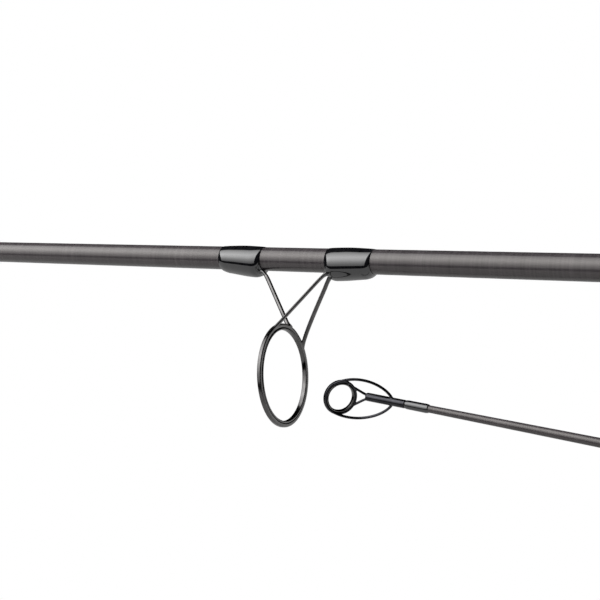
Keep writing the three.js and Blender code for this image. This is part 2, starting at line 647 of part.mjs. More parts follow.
function makeButtSection() {
  const section = new THREE.Group();
  buttBlank(section);
  buttCap(section);
  rearHandle(section);
  seatFittings(section);
  const hoodGroup = new THREE.Group();
  const nutGroup = new THREE.Group();
  reelSeat(section, hoodGroup);
  lockNut(nutGroup);
  hoodGroup.add(nutGroup);
  section.add(hoodGroup);
  frontHandle(section);
  threeLegGuide(section, BUTT_GUIDE, (x) => buttBlankRadius(GUIDE_STATION - x));
  section.rotation.x = Math.PI / 2 - GUIDE_RISE;
  return section;
}

// ---- tip section ----

function tipBlank(section) {
  const start = TUBE_NOSE + 0.3;
  const outer = [
    [start, tipBlankRadius(start)],
    [FINE_LENGTH, tipBlankRadius(FINE_LENGTH)],
    [TIP_BASE, tipBlankRadius(TIP_BASE)],
  ];
  const boreEnd = tipBlankRadius(TIP_BORE_START) - TIP_WALL;
  const boreMouth = tipBlankRadius(TIP_BASE) - TIP_WALL;
  addPiece(section, 'tip_blank', turned([
    [start, 0], ...outer, [TIP_BASE, boreMouth], [TIP_BORE_START, boreEnd], [TIP_BORE_START, 0],
  ]), CARBON);
}

// The sleeve over the tip section's base, which the butt section's front end pushes into.
function ferrule(section) {
  const start = TIP_LENGTH - SLEEVE_LENGTH;
  const shoulder = TIP_BASE - SHOULDER_LENGTH;
  const tipBore = (t) => tipBlankRadius(t) + GLUE_GAP;
  const mouthBore = buttBlankRadius(BUTT_LENGTH - FERRULE_OVERLAP) + FERRULE_CLEARANCE;
  const stepBore = buttBlankRadius(BUTT_LENGTH) + FERRULE_CLEARANCE;
  const thinEdge = 0.35;
  addPiece(section, 'ferrule_sleeve', sleeve([
    [start, tipBore(start) + thinEdge], [shoulder, stepBore + SLEEVE_WALL],
    [TIP_LENGTH, mouthBore + SLEEVE_WALL],
  ], [
    [start, tipBore(start)], [TIP_BASE - GLUE_GAP, tipBore(TIP_BASE - GLUE_GAP)],
    [TIP_BASE, stepBore], [TIP_LENGTH, mouthBore],
  ]), CARBON);
  const outside = (t) => THREE.MathUtils.mapLinear(t, shoulder, TIP_LENGTH,
    stepBore + SLEEVE_WALL, mouthBore + SLEEVE_WALL);
  const wrapEnd = TIP_LENGTH - WHIPPING_INSET;
  const wrapStart = wrapEnd - WHIPPING_LENGTH;
  addPiece(section, 'ferrule_whipping', sleeve([
    [wrapStart, outside(wrapStart) + WHIPPING_BUILD / 2],
    [wrapStart + WHIPPING_INSET, outside(wrapStart) + WHIPPING_BUILD],
    [wrapEnd - WHIPPING_INSET, outside(wrapEnd) + WHIPPING_BUILD],
    [wrapEnd, outside(wrapEnd) + WHIPPING_BUILD / 2],
  ], [
    [wrapStart, outside(wrapStart) + GLUE_GAP], [wrapEnd, outside(wrapEnd) + GLUE_GAP],
  ]), EPOXY);
}

// The wires of the tip-top: two short ones fork from the tube's nose, two long arms bow out.
function tipTopWires(onRing, midWall) {
  const wires = [];
  for (const side of [-1, 1]) {
    const forkRoot = vec(2, side * 0.5, 0.2);
    const forkNose = vec(0.2, side * 0.75, 0.3);
    const fork = new THREE.CurvePath();
    fork.add(new THREE.LineCurve3(forkRoot, forkNose));
    fork.add(new THREE.LineCurve3(forkNose, onRing(FORK_ANGLE, side, midWall)));
    wires.push(swept(fork, FORK_THICKNESS, FORK_THICKNESS, ARM_STEPS - 4));
    const armRoot = vec(ARM_ROOT + 1.5, side, 0.1);
    const armOut = vec(ARM_ROOT, side * 1.25, 0.15);
    const bow = [vec(ARM_ROOT - 3.2, side * 7, 0.9), vec(-3.5, side * 11.4, 5.2)];
    const arm = new THREE.CurvePath();
    arm.add(new THREE.LineCurve3(armRoot, armOut));
    arm.add(new THREE.CubicBezierCurve3(armOut, ...bow, onRing(ARM_ANGLE, side, TOP_RING.radius - 0.1)));
    wires.push(swept(arm, ARM_THICKNESS, ARM_THICKNESS, ARM_STEPS));
  }
  return wires;
}

// The tip-top: a tube with a forked nose and two side arms that carry the ring.
function tipTop(section) {
  const centre = vec(-TOP_RING.ahead, 0, TOP_RING.height);
  const insertWall = TOP_RING.wall * TOP_INSERT_SHARE;
  const frameInner = TOP_RING.radius - TOP_RING.wall + insertWall;
  const place = (solid) => solid
    .rotate([0, -THREE.MathUtils.radToDeg(TOP_TILT), 0])
    .translate(centre.x, centre.y, centre.z);
  const ring = place(hoop(TOP_RING.radius, frameInner, TOP_RING.depth,
    TOP_RING.depth * RING_BEVEL_SHARE, RING_SIDES.top));
  const insert = place(hoop(frameInner - GLUE_GAP, TOP_RING.radius - TOP_RING.wall,
    TOP_RING.depth * INSERT_DEPTH_SHARE, 0, RING_SIDES.top));
  const reach = TOP_RING.radius + 2;
  const hole = place(bar([[-reach, frameInner], [reach, frameInner]], RING_SIDES.top));

  const across = vec(-Math.sin(TOP_TILT), 0, Math.cos(TOP_TILT));
  const onRing = (angle, side, radius) => centre.clone()
    .addScaledVector(across, radius * Math.cos(angle))
    .add(vec(0, side * radius * Math.sin(angle), 0));
  const tube = turned([
    [0, 0], [0, TUBE_RADIUS - 0.5], [0.4, TUBE_RADIUS], [TUBE_LENGTH, TUBE_RADIUS],
    [TUBE_LENGTH, TUBE_BORE], [TUBE_NOSE, TUBE_BORE], [TUBE_NOSE, 0],
  ], SMALL_SIDES);
  const tubeBore = bar([[TUBE_NOSE, TUBE_BORE], [TUBE_LENGTH + CUT_OVERRUN, TUBE_BORE]], SMALL_SIDES);
  const wires = tipTopWires(onRing, (TOP_RING.radius + frameInner) / 2);
  addPiece(section, 'tip_top_frame', cut(join(ring, tube, ...wires), hole, tubeBore), BLACK_METAL);
  addPiece(section, 'tip_top_ring', insert, RING_METAL);

  const wrapStart = TUBE_LENGTH + GLUE_GAP;
  const wrapEnd = TUBE_LENGTH + TIP_WRAP_LENGTH;
  const edge = 0.25;
  addPiece(section, 'tip_top_wrap', sleeve([
    [wrapStart, tipBlankRadius(wrapStart) + edge],
    [wrapStart + 0.8, tipBlankRadius(wrapStart) + TIP_WRAP_BUILD],
    [wrapEnd - 1.5, tipBlankRadius(wrapEnd) + TIP_WRAP_BUILD],
    [wrapEnd, tipBlankRadius(wrapEnd) + edge],
  ], [
    [wrapStart, tipBlankRadius(wrapStart) + GLUE_GAP / 2],
    [wrapEnd, tipBlankRadius(wrapEnd) + GLUE_GAP / 2],
  ], SMALL_SIDES), EPOXY);
}

function makeTipSection() {
  const section = new THREE.Group();
  tipBlank(section);
  ferrule(section);
  const secondStation = TIP_LENGTH - SLEEVE_LENGTH - SECOND_GUIDE_TO_SLEEVE;
  const blankAt = (guide) => (x) => tipBlankRadius(guide.station + x);
  for (const guide of [
    smallThreeLegGuide('second_guide', secondStation, 13.2, 30),
    smallThreeLegGuide('third_guide', THIRD_GUIDE_STATION, 8.6, 19.5),
  ]) threeLegGuide(section, guide, blankAt(guide));
  for (const guide of [
    smallOneFootGuide('fourth_guide', FOURTH_GUIDE_STATION),
    smallOneFootGuide('fifth_guide', FIFTH_GUIDE_STATION),
  ]) oneFootGuide(section, guide, blankAt(guide));
  tipTop(section);
  const rise = SOCKET_REST_HEIGHT - TIP_REST_HEIGHT;
  section.rotation.order = 'ZYX';
  section.rotation.set(TIP_SPREAD.roll, -Math.asin(rise / TIP_LENGTH), TIP_SPREAD.yaw);
  section.position.set(TIP_NOSE.x, TIP_NOSE.y, TIP_REST_HEIGHT - FLOOR_RADIUS);
  return section;
}

// ---- the rod: both sections, with the origin under the middle of their common box ----
const rod = new THREE.Group();
rod.add(makeButtSection(), makeTipSection());
rod.updateMatrixWorld(true);
const bounds = new THREE.Box3().setFromObject(rod, true);
const middle = bounds.getCenter(new THREE.Vector3());
rod.position.set(-middle.x, -middle.y, -bounds.min.z);
rod.updateMatrixWorld(true);

export default rod;
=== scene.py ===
import math
import random
from types import SimpleNamespace

import bmesh
import bpy
import numpy as np
from mathutils import Matrix, Vector


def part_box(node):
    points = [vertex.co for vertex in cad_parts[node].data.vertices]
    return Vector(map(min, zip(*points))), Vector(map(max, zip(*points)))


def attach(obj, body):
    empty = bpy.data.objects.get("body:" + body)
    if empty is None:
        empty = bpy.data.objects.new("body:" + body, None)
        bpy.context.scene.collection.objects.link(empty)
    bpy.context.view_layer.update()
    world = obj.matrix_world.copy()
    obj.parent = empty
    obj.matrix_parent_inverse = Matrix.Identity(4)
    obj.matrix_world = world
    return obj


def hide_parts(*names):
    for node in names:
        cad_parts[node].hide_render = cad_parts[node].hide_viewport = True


random.seed(11)
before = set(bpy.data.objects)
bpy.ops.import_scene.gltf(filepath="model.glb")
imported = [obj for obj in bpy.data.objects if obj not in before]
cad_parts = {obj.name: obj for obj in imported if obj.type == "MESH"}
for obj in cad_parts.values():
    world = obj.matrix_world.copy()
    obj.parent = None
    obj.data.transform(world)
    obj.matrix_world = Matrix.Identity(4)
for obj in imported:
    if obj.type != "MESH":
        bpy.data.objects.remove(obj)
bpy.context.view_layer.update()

MM = 0.001
GLUE_GAP = 0.12
X_AXIS = Vector((1, 0, 0))
Y_AXIS = Vector((0, 1, 0))
Z_AXIS = Vector((0, 0, 1))
FULL_TURN = 2 * math.pi
SWEEP_CORNERS = 20
FILLET_PASSES = 3

# ---- sizes along the two blanks, in millimetres ----
GUIDE_STATION = 700               # butt end to the butt guide's ring, where local x is 0
BUTT_BLANK_D = 10.2               # at the butt guide
BUTT_TAPER = 0.004                # diameter gained per mm towards the butt
GUIDE_TO_MALE_END = 240
BLANK_INSET = 6
BLANK_WALL = 1.1
TIP_D = 2.75
FINE_TAPER = 0.0098
FINE_LENGTH = 250
TIP_BASE = 888                    # where the tip blank ends inside the sleeve
TIP_WALL = 0.8
TIP_LENGTH = 960
TIP_BORE_START = 300              # the fine tip is solid, the rest is a tube
SLEEVE_SHOULDER = 6
SLEEVE_WALL = 1.1
TIP_WRAP_MIDDLE = 23.16           # tube nose to the middle of the tip-top's wrap
THREAD_PITCH = 1.5

# ---- the guides ----
STANDARD_RING_RADIUS = 21.3
INSERT_WALL_SHARE = 0.36
THREE_LEG_LEAN = math.radians(5.25)
ONE_FOOT_LEAN = math.radians(-8)
REAR_SPLAY = math.radians(43)
ONE_FOOT_SPLAY = math.radians(58)
TOP_TILT = math.radians(38)
KNEE_RISE_SHARE = 1.2
KNEE_SHARE = 0.16
ARRIVAL_SHARE = 0.16
FRONT_LEG_THICKENING = 1.5
RUN_ON = math.radians(20)         # how far round the ring a rear leg is drawn out
LEG_TIP_THINNING = 0.35
LEG_FLARE = 0.7
FOOT_STEPS, KNEE_STEPS, LEG_STEPS = 14, 12, 26
RING_EMBED = 0.35                 # a leg stops this far inside the ring's wall

# ---- the epoxy wraps ----
WRAP_SIDES = 120
WRAP_EDGE = 0.04                  # epoxy's thickness where a wrap begins
BEAD, BEAD_SHARE = 4.2, 0.21      # length of a wrap's rounded end, at most this share of the wrap
BACK_BUILD_SHARE = 0.5
END_BUILD_SHARE = 0.4             # how much of the epoxy's thickness is left near a wrap's ends
FRONT_FAR_SWELL, REAR_FAR_SWELL = 0.4, 0.6   # the swelling left at the end away from the leg
CREST_GAIN = 1.2                  # rounded epoxy stands this much prouder than the faceted frame
COLLAR_START, COLLAR_END = 10, 21  # the steps of a leg's path that epoxy climbs
FOOT_COVER = 0.3                  # epoxy over the foot's metal
FOOT_MARGIN = 0.2
SKIN_GAP = 0.015                  # between the blank's skin and a wrap's inside

# ---- the camera, in millimetres ----
CAMERA_AZIMUTH = math.radians(73.95)
CAMERA_ELEVATION = math.radians(59.96)
CAMERA_ROLL = math.radians(-69.09)
CAMERA_DISTANCE = 656.6
CAMERA_TARGET = Vector((-60.9, 0, -107.9))   # from the blank's axis at the butt guide
CAMERA_LENS = 76.12
SENSOR_WIDTH = 36
CAMERA_SHIFT = 0.0006             # lens shift upwards, in sensor widths


# ---- local frames of the two sections ----
def box_centre(node):
    low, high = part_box(node)
    return (low + high) / 2


def axis_frame(origin, along, toward):
    x_axis = along.normalized()
    z_axis = (toward - x_axis * toward.dot(x_axis)).normalized()
    y_axis = z_axis.cross(x_axis)
    matrix = Matrix((x_axis, y_axis, z_axis)).transposed().to_4x4()
    matrix.translation = origin
    return matrix


def butt_section_frame():
    cap_end = box_centre("butt_cap")
    cap_end.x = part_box("butt_cap")[1].x
    origin = cap_end - X_AXIS * GUIDE_STATION * MM
    return axis_frame(origin, X_AXIS, box_centre("butt_guide_ring") - origin)


def tip_section_frame():
    wrap = box_centre("tip_top_wrap")
    along = (box_centre("ferrule_whipping") - wrap).normalized()
    origin = wrap - along * TIP_WRAP_MIDDLE * MM
    return axis_frame(origin, along, box_centre("second_guide_ring") - origin)


BUTT = SimpleNamespace(matrix=butt_section_frame(), body="butt_section")
TIP = SimpleNamespace(matrix=tip_section_frame(), body="tip_section")


def local_points(node, section):
    """A CAD node's points in its section's own frame, in millimetres."""
    to_local = section.matrix.inverted()
    return np.array([to_local @ v.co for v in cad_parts[node].data.vertices]) / MM


def extent(node, section):
    """The lowest and highest corner of a CAD node in its section's own frame."""
    points = local_points(node, section)
    return Vector(points.min(0)), Vector(points.max(0))


def butt_blank_radius(x):
    return (BUTT_BLANK_D + BUTT_TAPER * x) / 2


def tip_blank_radius(t):
    if t <= FINE_LENGTH:
        return (TIP_D + FINE_TAPER * t) / 2
    fine_end = TIP_D + FINE_TAPER * FINE_LENGTH
    base = BUTT_BLANK_D - BUTT_TAPER * GUIDE_TO_MALE_END - 2 * GLUE_GAP
    share = (t - FINE_LENGTH) / (TIP_BASE - FINE_LENGTH)
    return (fine_end + (base - fine_end) * share) / 2


BUTT.blank = butt_blank_radius
TIP.blank = tip_blank_radius


# ---- mesh helpers: all take millimetres in a section's own frame ----
def smoothstep(low, high, value):
    share = min(max((value - low) / (high - low), 0), 1)
    return share * share * (3 - 2 * share)


def mix(a, b, share):
    return a + (b - a) * share


def spread(low, high, count):
    return [mix(low, high, i / (count - 1)) for i in range(count)]


def add_object(name, data):
    obj = bpy.data.objects.new(name, data)
    bpy.context.scene.collection.objects.link(obj)
    return obj


def finish_mesh(name, bm, section, sharp=40):
    """Turns a bmesh into an object in the shared frame, with edges sharper than that angle kept hard."""
    bmesh.ops.remove_doubles(bm, verts=bm.verts, dist=1e-5)
    bmesh.ops.recalc_face_normals(bm, faces=bm.faces)
    mesh = bpy.data.meshes.new(name)
    bm.to_mesh(mesh)
    bm.free()
    mesh.transform(section.matrix @ Matrix.Scale(MM, 4))
    mesh.shade_smooth()
    mesh.set_sharp_from_angle(angle=math.radians(sharp))
    return add_object(name, mesh)


def add_rings(bm, rings, closed_loop=False):
    """Joins rings of points into a skin, whose last ring meets its first or whose ends are capped."""
    rows = [[bm.verts.new(point) for point in ring] for ring in rings]
    count = len(rows[0])
    pairs = list(zip(rows, rows[1:] + rows[:1])) if closed_loop else list(zip(rows, rows[1:]))
    for row, following in pairs:
        for i in range(count):
            j = (i + 1) % count
            bm.faces.new((row[i], row[j], following[j], following[i]))
    if not closed_loop:
        bm.faces.new(rows[0])
        bm.faces.new(list(reversed(rows[-1])))


def turn_angles(sides):
    return [FULL_TURN * i / sides for i in range(sides)]


def polar_ring(x, radii, angles):
    return [Vector((x, r * math.sin(a), r * math.cos(a))) for r, a in zip(radii, angles)]


def circle(x, radius, sides):
    return polar_ring(x, [radius] * sides, turn_angles(sides))


def rounded(points, steps=5):
    """An outline of (x, radius) or (x, radius, rounding) points with its rounded corners drawn."""
    outline = []
    count = len(points)
    for i, point in enumerate(points):
        if len(point) == 2:
            outline.append(Vector(point))
            continue
        corner = Vector(point[:2])
        before = Vector(points[(i - 1) % count][:2]) - corner
        after = Vector(points[(i + 1) % count][:2]) - corner
        start = corner + before.normalized() * min(point[2], before.length * 0.49)
        end = corner + after.normalized() * min(point[2], after.length * 0.49)
        for share in spread(0, 1, steps):
            outline.append(start.lerp(corner, share).lerp(corner.lerp(end, share), share))
    return outline


def turned(name, points, section, sides=96, sharp=40, closed_loop=True):
    """An outline turned about the section's axis: a closed one, or an open one with flat ends."""
    bm = bmesh.new()
    add_rings(bm, [circle(p.x, p.y, sides) for p in rounded(points)], closed_loop)
    return finish_mesh(name, bm, section, sharp)


def polar_tube(name, xs, outer, inner, section, sides=96, sharp=40, inner_xs=None):
    """A tube whose outer and inner walls are radii given as functions of x and the angle from +Z."""
    bm = bmesh.new()
    inner_xs = inner_xs or (xs[0], xs[-1])
    angles = turn_angles(sides)

    def ring(x, wall):
        return polar_ring(x, [wall(x, angle) for angle in angles], angles)

    rings = [ring(x, outer) for x in xs] + [ring(x, inner) for x in reversed(inner_xs)]
    add_rings(bm, rings, closed_loop=True)
    return finish_mesh(name, bm, section, sharp)


def bezier(points, share):
    points = list(points)
    while len(points) > 1:
        points = [a.lerp(b, share) for a, b in zip(points, points[1:])]
    return points[0]


def add_sweep(bm, path, side, shape, squareness=2.2):
    """A closed bar along a path: shape(share) is its width along side and its thickness.

    A squareness of 2 makes an ellipse, and more makes it boxier."""
    rings = []
    across = side
    length = sum((b - a).length for a, b in zip(path, path[1:]))
    travelled = 0.0
    for i, point in enumerate(path):
        tangent = (path[min(i + 1, len(path) - 1)] - path[max(i - 1, 0)]).normalized()
        across = (across - tangent * across.dot(tangent)).normalized()
        up = across.cross(tangent)
        if i:
            travelled += (point - path[i - 1]).length
        width, thickness = shape(travelled / length)
        ring = []
        for angle in turn_angles(SWEEP_CORNERS):
            c, s = math.cos(angle), math.sin(angle)
            a = math.copysign(abs(c) ** (2 / squareness), c) * width / 2
            b = math.copysign(abs(s) ** (2 / squareness), s) * thickness / 2
            ring.append(point + across * a + up * b)
        rings.append(ring)
    add_rings(bm, rings)


def add_hoop(bm, points, matrix, sides):
    rings = [[matrix @ p for p in circle(q.x, q.y, sides)] for q in rounded(points)]
    add_rings(bm, rings, closed_loop=True)


def hoop_outline(outer, inner, depth, rounding):
    half = depth / 2
    return [(-half, inner, rounding), (-half, outer, rounding),
            (half, outer, rounding), (half, inner, rounding)]


def welded(name, bm, section, voxel):
    """Melts overlapping closed bars into one skin with soft fillets where they meet."""
    bmesh.ops.recalc_face_normals(bm, faces=bm.faces)
    raw = bpy.data.meshes.new(name)
    bm.to_mesh(raw)
    bm.free()
    scratch = add_object(name, raw)
    remesh = scratch.modifiers.new("weld", "REMESH")
    remesh.mode = "VOXEL"
    remesh.voxel_size = voxel
    smooth = scratch.modifiers.new("fillet", "SMOOTH")
    smooth.factor = 0.5
    smooth.iterations = FILLET_PASSES
    depsgraph = bpy.context.evaluated_depsgraph_get()
    mesh = bpy.data.meshes.new_from_object(scratch.evaluated_get(depsgraph))
    bpy.data.objects.remove(scratch)
    bpy.data.meshes.remove(raw)
    mesh.name = name
    mesh.transform(section.matrix @ Matrix.Scale(MM, 4))
    mesh.shade_smooth()
    return add_object(name, mesh)


# ---- material helpers ----
def new_material(name):
    material = bpy.data.materials.new(name)
    material.use_nodes = True
    tree = material.node_tree
    return material, tree, tree.nodes["Principled BSDF"]


def place_coordinates(tree, scale, tilt=0.0):
    """The piece's coordinates in metres, scaled so that noise of scale 1 has the wanted grain."""
    source = tree.nodes.new("ShaderNodeTexCoord")
    mapping = tree.nodes.new("ShaderNodeMapping")
    mapping.inputs["Scale"].default_value = scale
    mapping.inputs["Rotation"].default_value = (0, tilt, tilt)
    tree.links.new(source.outputs["Object"], mapping.inputs["Vector"])
    return mapping.outputs["Vector"]


def noise(tree, scale, detail=3.0, roughness=0.55, tilt=0.0):
    node = tree.nodes.new("ShaderNodeTexNoise")
    node.inputs["Scale"].default_value = 1.0
    node.inputs["Detail"].default_value = detail
    node.inputs["Roughness"].default_value = roughness
    tree.links.new(place_coordinates(tree, scale, tilt), node.inputs["Vector"])
    return node.outputs["Fac"]


def cells(tree, scale):
    node = tree.nodes.new("ShaderNodeTexVoronoi")
    node.inputs["Scale"].default_value = 1.0
    tree.links.new(place_coordinates(tree, scale), node.inputs["Vector"])
    return node.outputs["Distance"]


def remap(tree, value, from_low, from_high, to_low, to_high):
    node = tree.nodes.new("ShaderNodeMapRange")
    node.inputs["From Min"].default_value = from_low
    node.inputs["From Max"].default_value = from_high
    node.inputs["To Min"].default_value = to_low
    node.inputs["To Max"].default_value = to_high
    tree.links.new(value, node.inputs["Value"])
    return node.outputs["Result"]


def combine(tree, operation, first, second):
    node = tree.nodes.new("ShaderNodeMath")
    node.operation = operation
    for socket, value in zip(node.inputs, (first, second)):
        if isinstance(value, (int, float)):
            socket.default_value = value
        else:
            tree.links.new(value, socket)
    return node.outputs["Value"]


def colour_ramp(tree, value, *stops):
    node = tree.nodes.new("ShaderNodeValToRGB")
    elements = node.color_ramp.elements
    while len(elements) < len(stops):
        elements.new(0.5)
    for element, (position, colour) in zip(elements, stops):
        element.position = position
        element.color = (*colour, 1)
    tree.links.new(value, node.inputs["Fac"])
    return node.outputs["Color"]


def paint(tree, shader, value, *stops):
    tree.links.new(colour_ramp(tree, value, *stops), shader.inputs["Base Color"])


def roughen(tree, shader, value, low, high):
    tree.links.new(remap(tree, value, 0.3, 0.7, low, high), shader.inputs["Roughness"])


def bump(tree, shader, height, distance, strength):
    node = tree.nodes.new("ShaderNodeBump")
    node.inputs["Strength"].default_value = strength
    node.inputs["Distance"].default_value = distance
    tree.links.new(height, node.inputs["Height"])
    tree.links.new(node.outputs["Normal"], shader.inputs["Normal"])


def around_angle(tree):
    """The angle round the object's own X axis, from -pi to pi."""
    source = tree.nodes.new("ShaderNodeTexCoord")
    split = tree.nodes.new("ShaderNodeSeparateXYZ")
    tree.links.new(source.outputs["Object"], split.inputs["Vector"])
    return combine(tree, "ARCTAN2", split.outputs["Y"], split.outputs["Z"])


# ---- materials ----
def carbon():
    """Unsanded carbon blank under a thin coat: spiral tape ridges show as fine cross streaks."""
    material, tree, shader = new_material("carbon")
    ridges = noise(tree, (1300, 45, 45), detail=2, tilt=0.035)
    fine = noise(tree, (3600, 90, 90), detail=3, tilt=0.035)
    bands = noise(tree, (160, 25, 25), detail=2)
    shade = combine(tree, "MULTIPLY_ADD", ridges, 0.6)
    shade.node.inputs[2].default_value = 0.0
    tree.links.new(combine(tree, "MULTIPLY", bands, 0.4), shade.node.inputs[2])
    paint(tree, shader, shade, (0.25, (0.022, 0.019, 0.0205)),
          (0.52, (0.034, 0.03, 0.032)), (0.8, (0.052, 0.046, 0.0485)))
    roughen(tree, shader, fine, 0.15, 0.24)
    shader.inputs["Specular IOR Level"].default_value = 0.34
    shader.inputs["Specular Tint"].default_value = (1.0, 0.965, 0.92, 1)
    relief = combine(tree, "ADD", ridges, combine(tree, "MULTIPLY", fine, 0.5))
    bump(tree, shader, relief, 1.2e-5, 0.6)
    return material


def epoxy():
    """Gloss black thread wrap under thick clear epoxy, with a faint brushed-on unevenness."""
    material, tree, shader = new_material("epoxy")
    sag = noise(tree, (110, 160, 160), detail=1)
    thread = noise(tree, (2600, 30, 30), detail=1)
    paint(tree, shader, thread, (0.3, (0.0016, 0.0016, 0.0019)), (0.7, (0.005, 0.005, 0.006)))
    roughen(tree, shader, sag, 0.03, 0.055)
    shader.inputs["Specular IOR Level"].default_value = 0.62
    bump(tree, shader, sag, 1.6e-4, 0.35)
    return material


def plated_metal(name, dark, light, roughness, grain):
    """Plated wire or stamped steel: faint drawn grain, small polish marks and darker patches."""
    material, tree, shader = new_material(name)
    patches = noise(tree, (260, 260, 260), detail=4)
    drawn = noise(tree, (grain, grain * 0.35, grain * 0.35), detail=3)
    paint(tree, shader, patches, (0.3, dark), (0.72, light))
    shader.inputs["Metallic"].default_value = 1.0
    roughen(tree, shader, drawn, roughness * 0.8, roughness * 1.3)
    bump(tree, shader, drawn, 1.5e-5, 0.35)
    return material


def foam():
    """Closed-cell foam: fine pores with a few larger ones, darkened in colour as painted shade in their
    hollows, and a soft mottled tone of its own.
    """
    material, tree, shader = new_material("foam")
    pores = cells(tree, (2300, 2300, 2300))
    pits = cells(tree, (900, 900, 900))
    mottle = noise(tree, (180, 180, 180), detail=4)
    fine = remap(tree, pores, 0.0, 0.55, 0.0, 0.6)
    depth = combine(tree, "ADD", fine, remap(tree, pits, 0.0, 0.3, 0.0, 1.0))
    # the pores' depth darkens the colour as well as the bump: painted shade in the pores, over the
    # foam's own mottled tone
    painted_pore_shade = combine(tree, "MULTIPLY", depth, 0.35)
    shade = combine(tree, "ADD", painted_pore_shade, combine(tree, "MULTIPLY", mottle, 0.5))
    paint(tree, shader, shade, (0.2, (0.006, 0.006, 0.007)), (0.85, (0.022, 0.022, 0.024)))
    roughen(tree, shader, mottle, 0.78, 0.92)
    shader.inputs["Sheen Weight"].default_value = 0.12
    shader.inputs["Sheen Roughness"].default_value = 0.5
    bump(tree, shader, depth, 1.2e-4, 0.5)
    return material


def rubber():
    """Soft moulded rubber with a fine pebble and a little bloom."""
    material, tree, shader = new_material("rubber")
    pebble = noise(tree, (1500, 1500, 1500), detail=4)
    bloom = noise(tree, (90, 90, 90), detail=3)
    paint(tree, shader, bloom, (0.3, (0.009, 0.009, 0.009)), (0.75, (0.021, 0.021, 0.02)))
    roughen(tree, shader, pebble, 0.55, 0.75)
    bump(tree, shader, pebble, 6e-5, 0.4)
    return material


def seat_plastic():
    """Satin glass-filled nylon: spark-eroded grain, faint flow marks."""
    material, tree, shader = new_material("seat_plastic")
    grain = noise(tree, (2600, 2600, 2600), detail=3)
    flow = noise(tree, (60, 140, 140), detail=4)
    paint(tree, shader, flow, (0.3, (0.007, 0.007, 0.008)), (0.75, (0.016, 0.016, 0.018)))
    roughen(tree, shader, grain, 0.32, 0.46)
    bump(tree, shader, grain, 3e-5, 0.4)
    return material


def trim_metal():
    """Smoke-anodised turned aluminium: lathe rings across the axis."""
    material, tree, shader = new_material("trim_metal")
    lathe = noise(tree, (5200, 25, 25), detail=2)
    cloud = noise(tree, (120, 120, 120), detail=3)
    paint(tree, shader, cloud, (0.3, (0.19, 0.185, 0.18)), (0.75, (0.27, 0.262, 0.255)))
    shader.inputs["Metallic"].default_value = 1.0
    roughen(tree, shader, lathe, 0.2, 0.34)
    bump(tree, shader, lathe, 1.2e-5, 0.5)
    return material


def make_materials():
    return {
        "carbon": carbon(),
        "epoxy": epoxy(),
        "smoke_metal": plated_metal("smoke_metal", (0.048, 0.047, 0.047),
                                    (0.078, 0.076, 0.075), roughness=0.2, grain=900),
        "black_metal": plated_metal("black_metal", (0.016, 0.016, 0.018),
                                    (0.03, 0.03, 0.033), roughness=0.12, grain=700),
        "ring_metal": plated_metal("ring_metal", (0.045, 0.044, 0.044),
                                   (0.075, 0.073, 0.072), roughness=0.12, grain=1500),
        "foam": foam(),
        "rubber": rubber(),
        "seat_plastic": seat_plastic(),
        "trim_metal": trim_metal(),
    }


MATERIALS = make_materials()


def place(obj, node, slot, body):
    """Gives a piece its finish, sets it in place of its CAD node and lets it ride on its body."""
    obj.data.materials.clear()
    obj.data.materials.append(MATERIALS[slot])
    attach(obj, body)
    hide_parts(node)


# ---- guides ----
def read_guide(name, family, section, **sizes):
    """A guide: its ring's size and place from the frame, its legs from the sizes given."""
    ring_low, ring_high = extent(name + "_ring", section)
    frame_low, frame_high = extent(name + "_frame", section)
    centre = (ring_low + ring_high) / 2
    insert_outer = (ring_high.y - ring_low.y) / 2
    radius = (frame_high.y - frame_low.y) / 2
    wall = (radius - insert_outer - GLUE_GAP) / (1 - INSERT_WALL_SHARE)
    return SimpleNamespace(name=name, family=family, section=section, station=centre.x,
                           height=centre.z, radius=radius, hole=radius - wall,
                           frame_inner=radius - wall * (1 - INSERT_WALL_SHARE), **sizes)


def butt_guide():
    return read_guide("butt_guide", "three_leg", BUTT, lean=THREE_LEG_LEAN, depth=1.7,
                      leg_width=2.2, leg_thickness=1.2, front_foot=(-39.5, -20.6),
                      rear_foot=(29.8, 12.6), rear_spread=1.8, voxel=0.15, build=0.85)


def small_three_leg_guide(name):
    guide = read_guide(name, "three_leg", TIP, lean=THREE_LEG_LEAN, depth=1.4,
                       leg_width=1.5, leg_thickness=0.95, rear_spread=1.1, voxel=0.12, build=0.7)
    growth = guide.radius / STANDARD_RING_RADIUS
    guide.front_foot = (-(14 + 26 * growth), -(3 + 17.6 * growth))
    guide.rear_foot = (6 + 20 * growth, 1.5 + 12 * growth)
    return guide


def one_foot_guide(name):
    return read_guide(name, "one_foot", TIP, lean=ONE_FOOT_LEAN, depth=1.4,
                      leg_width=1.3, leg_thickness=0.85, front_foot=(-19, -7.5),
                      voxel=0.11, build=0.6)


def blank_at(guide, x):
    return guide.section.blank(guide.station + x)


def up_ring(guide):
    return Vector((math.sin(guide.lean), 0, math.cos(guide.lean)))


def ring_point(guide, angle, side):
    """A point in the middle of the ring's wall, at an angle from its lowest point."""
    radius = (guide.radius + guide.frame_inner) / 2
    point = Vector((guide.station, side * radius * math.sin(angle), guide.height))
    return point - up_ring(guide) * radius * math.cos(angle)


def foot_height(guide, x, across):
    """How high the middle of a foot's metal lies over the blank's axis."""
    bed = blank_at(guide, x) + GLUE_GAP
    inner = max(across - guide.leg_width / 2, 0)
    return math.sqrt(max(bed * bed - inner * inner, 0)) + GLUE_GAP + guide.leg_thickness / 2


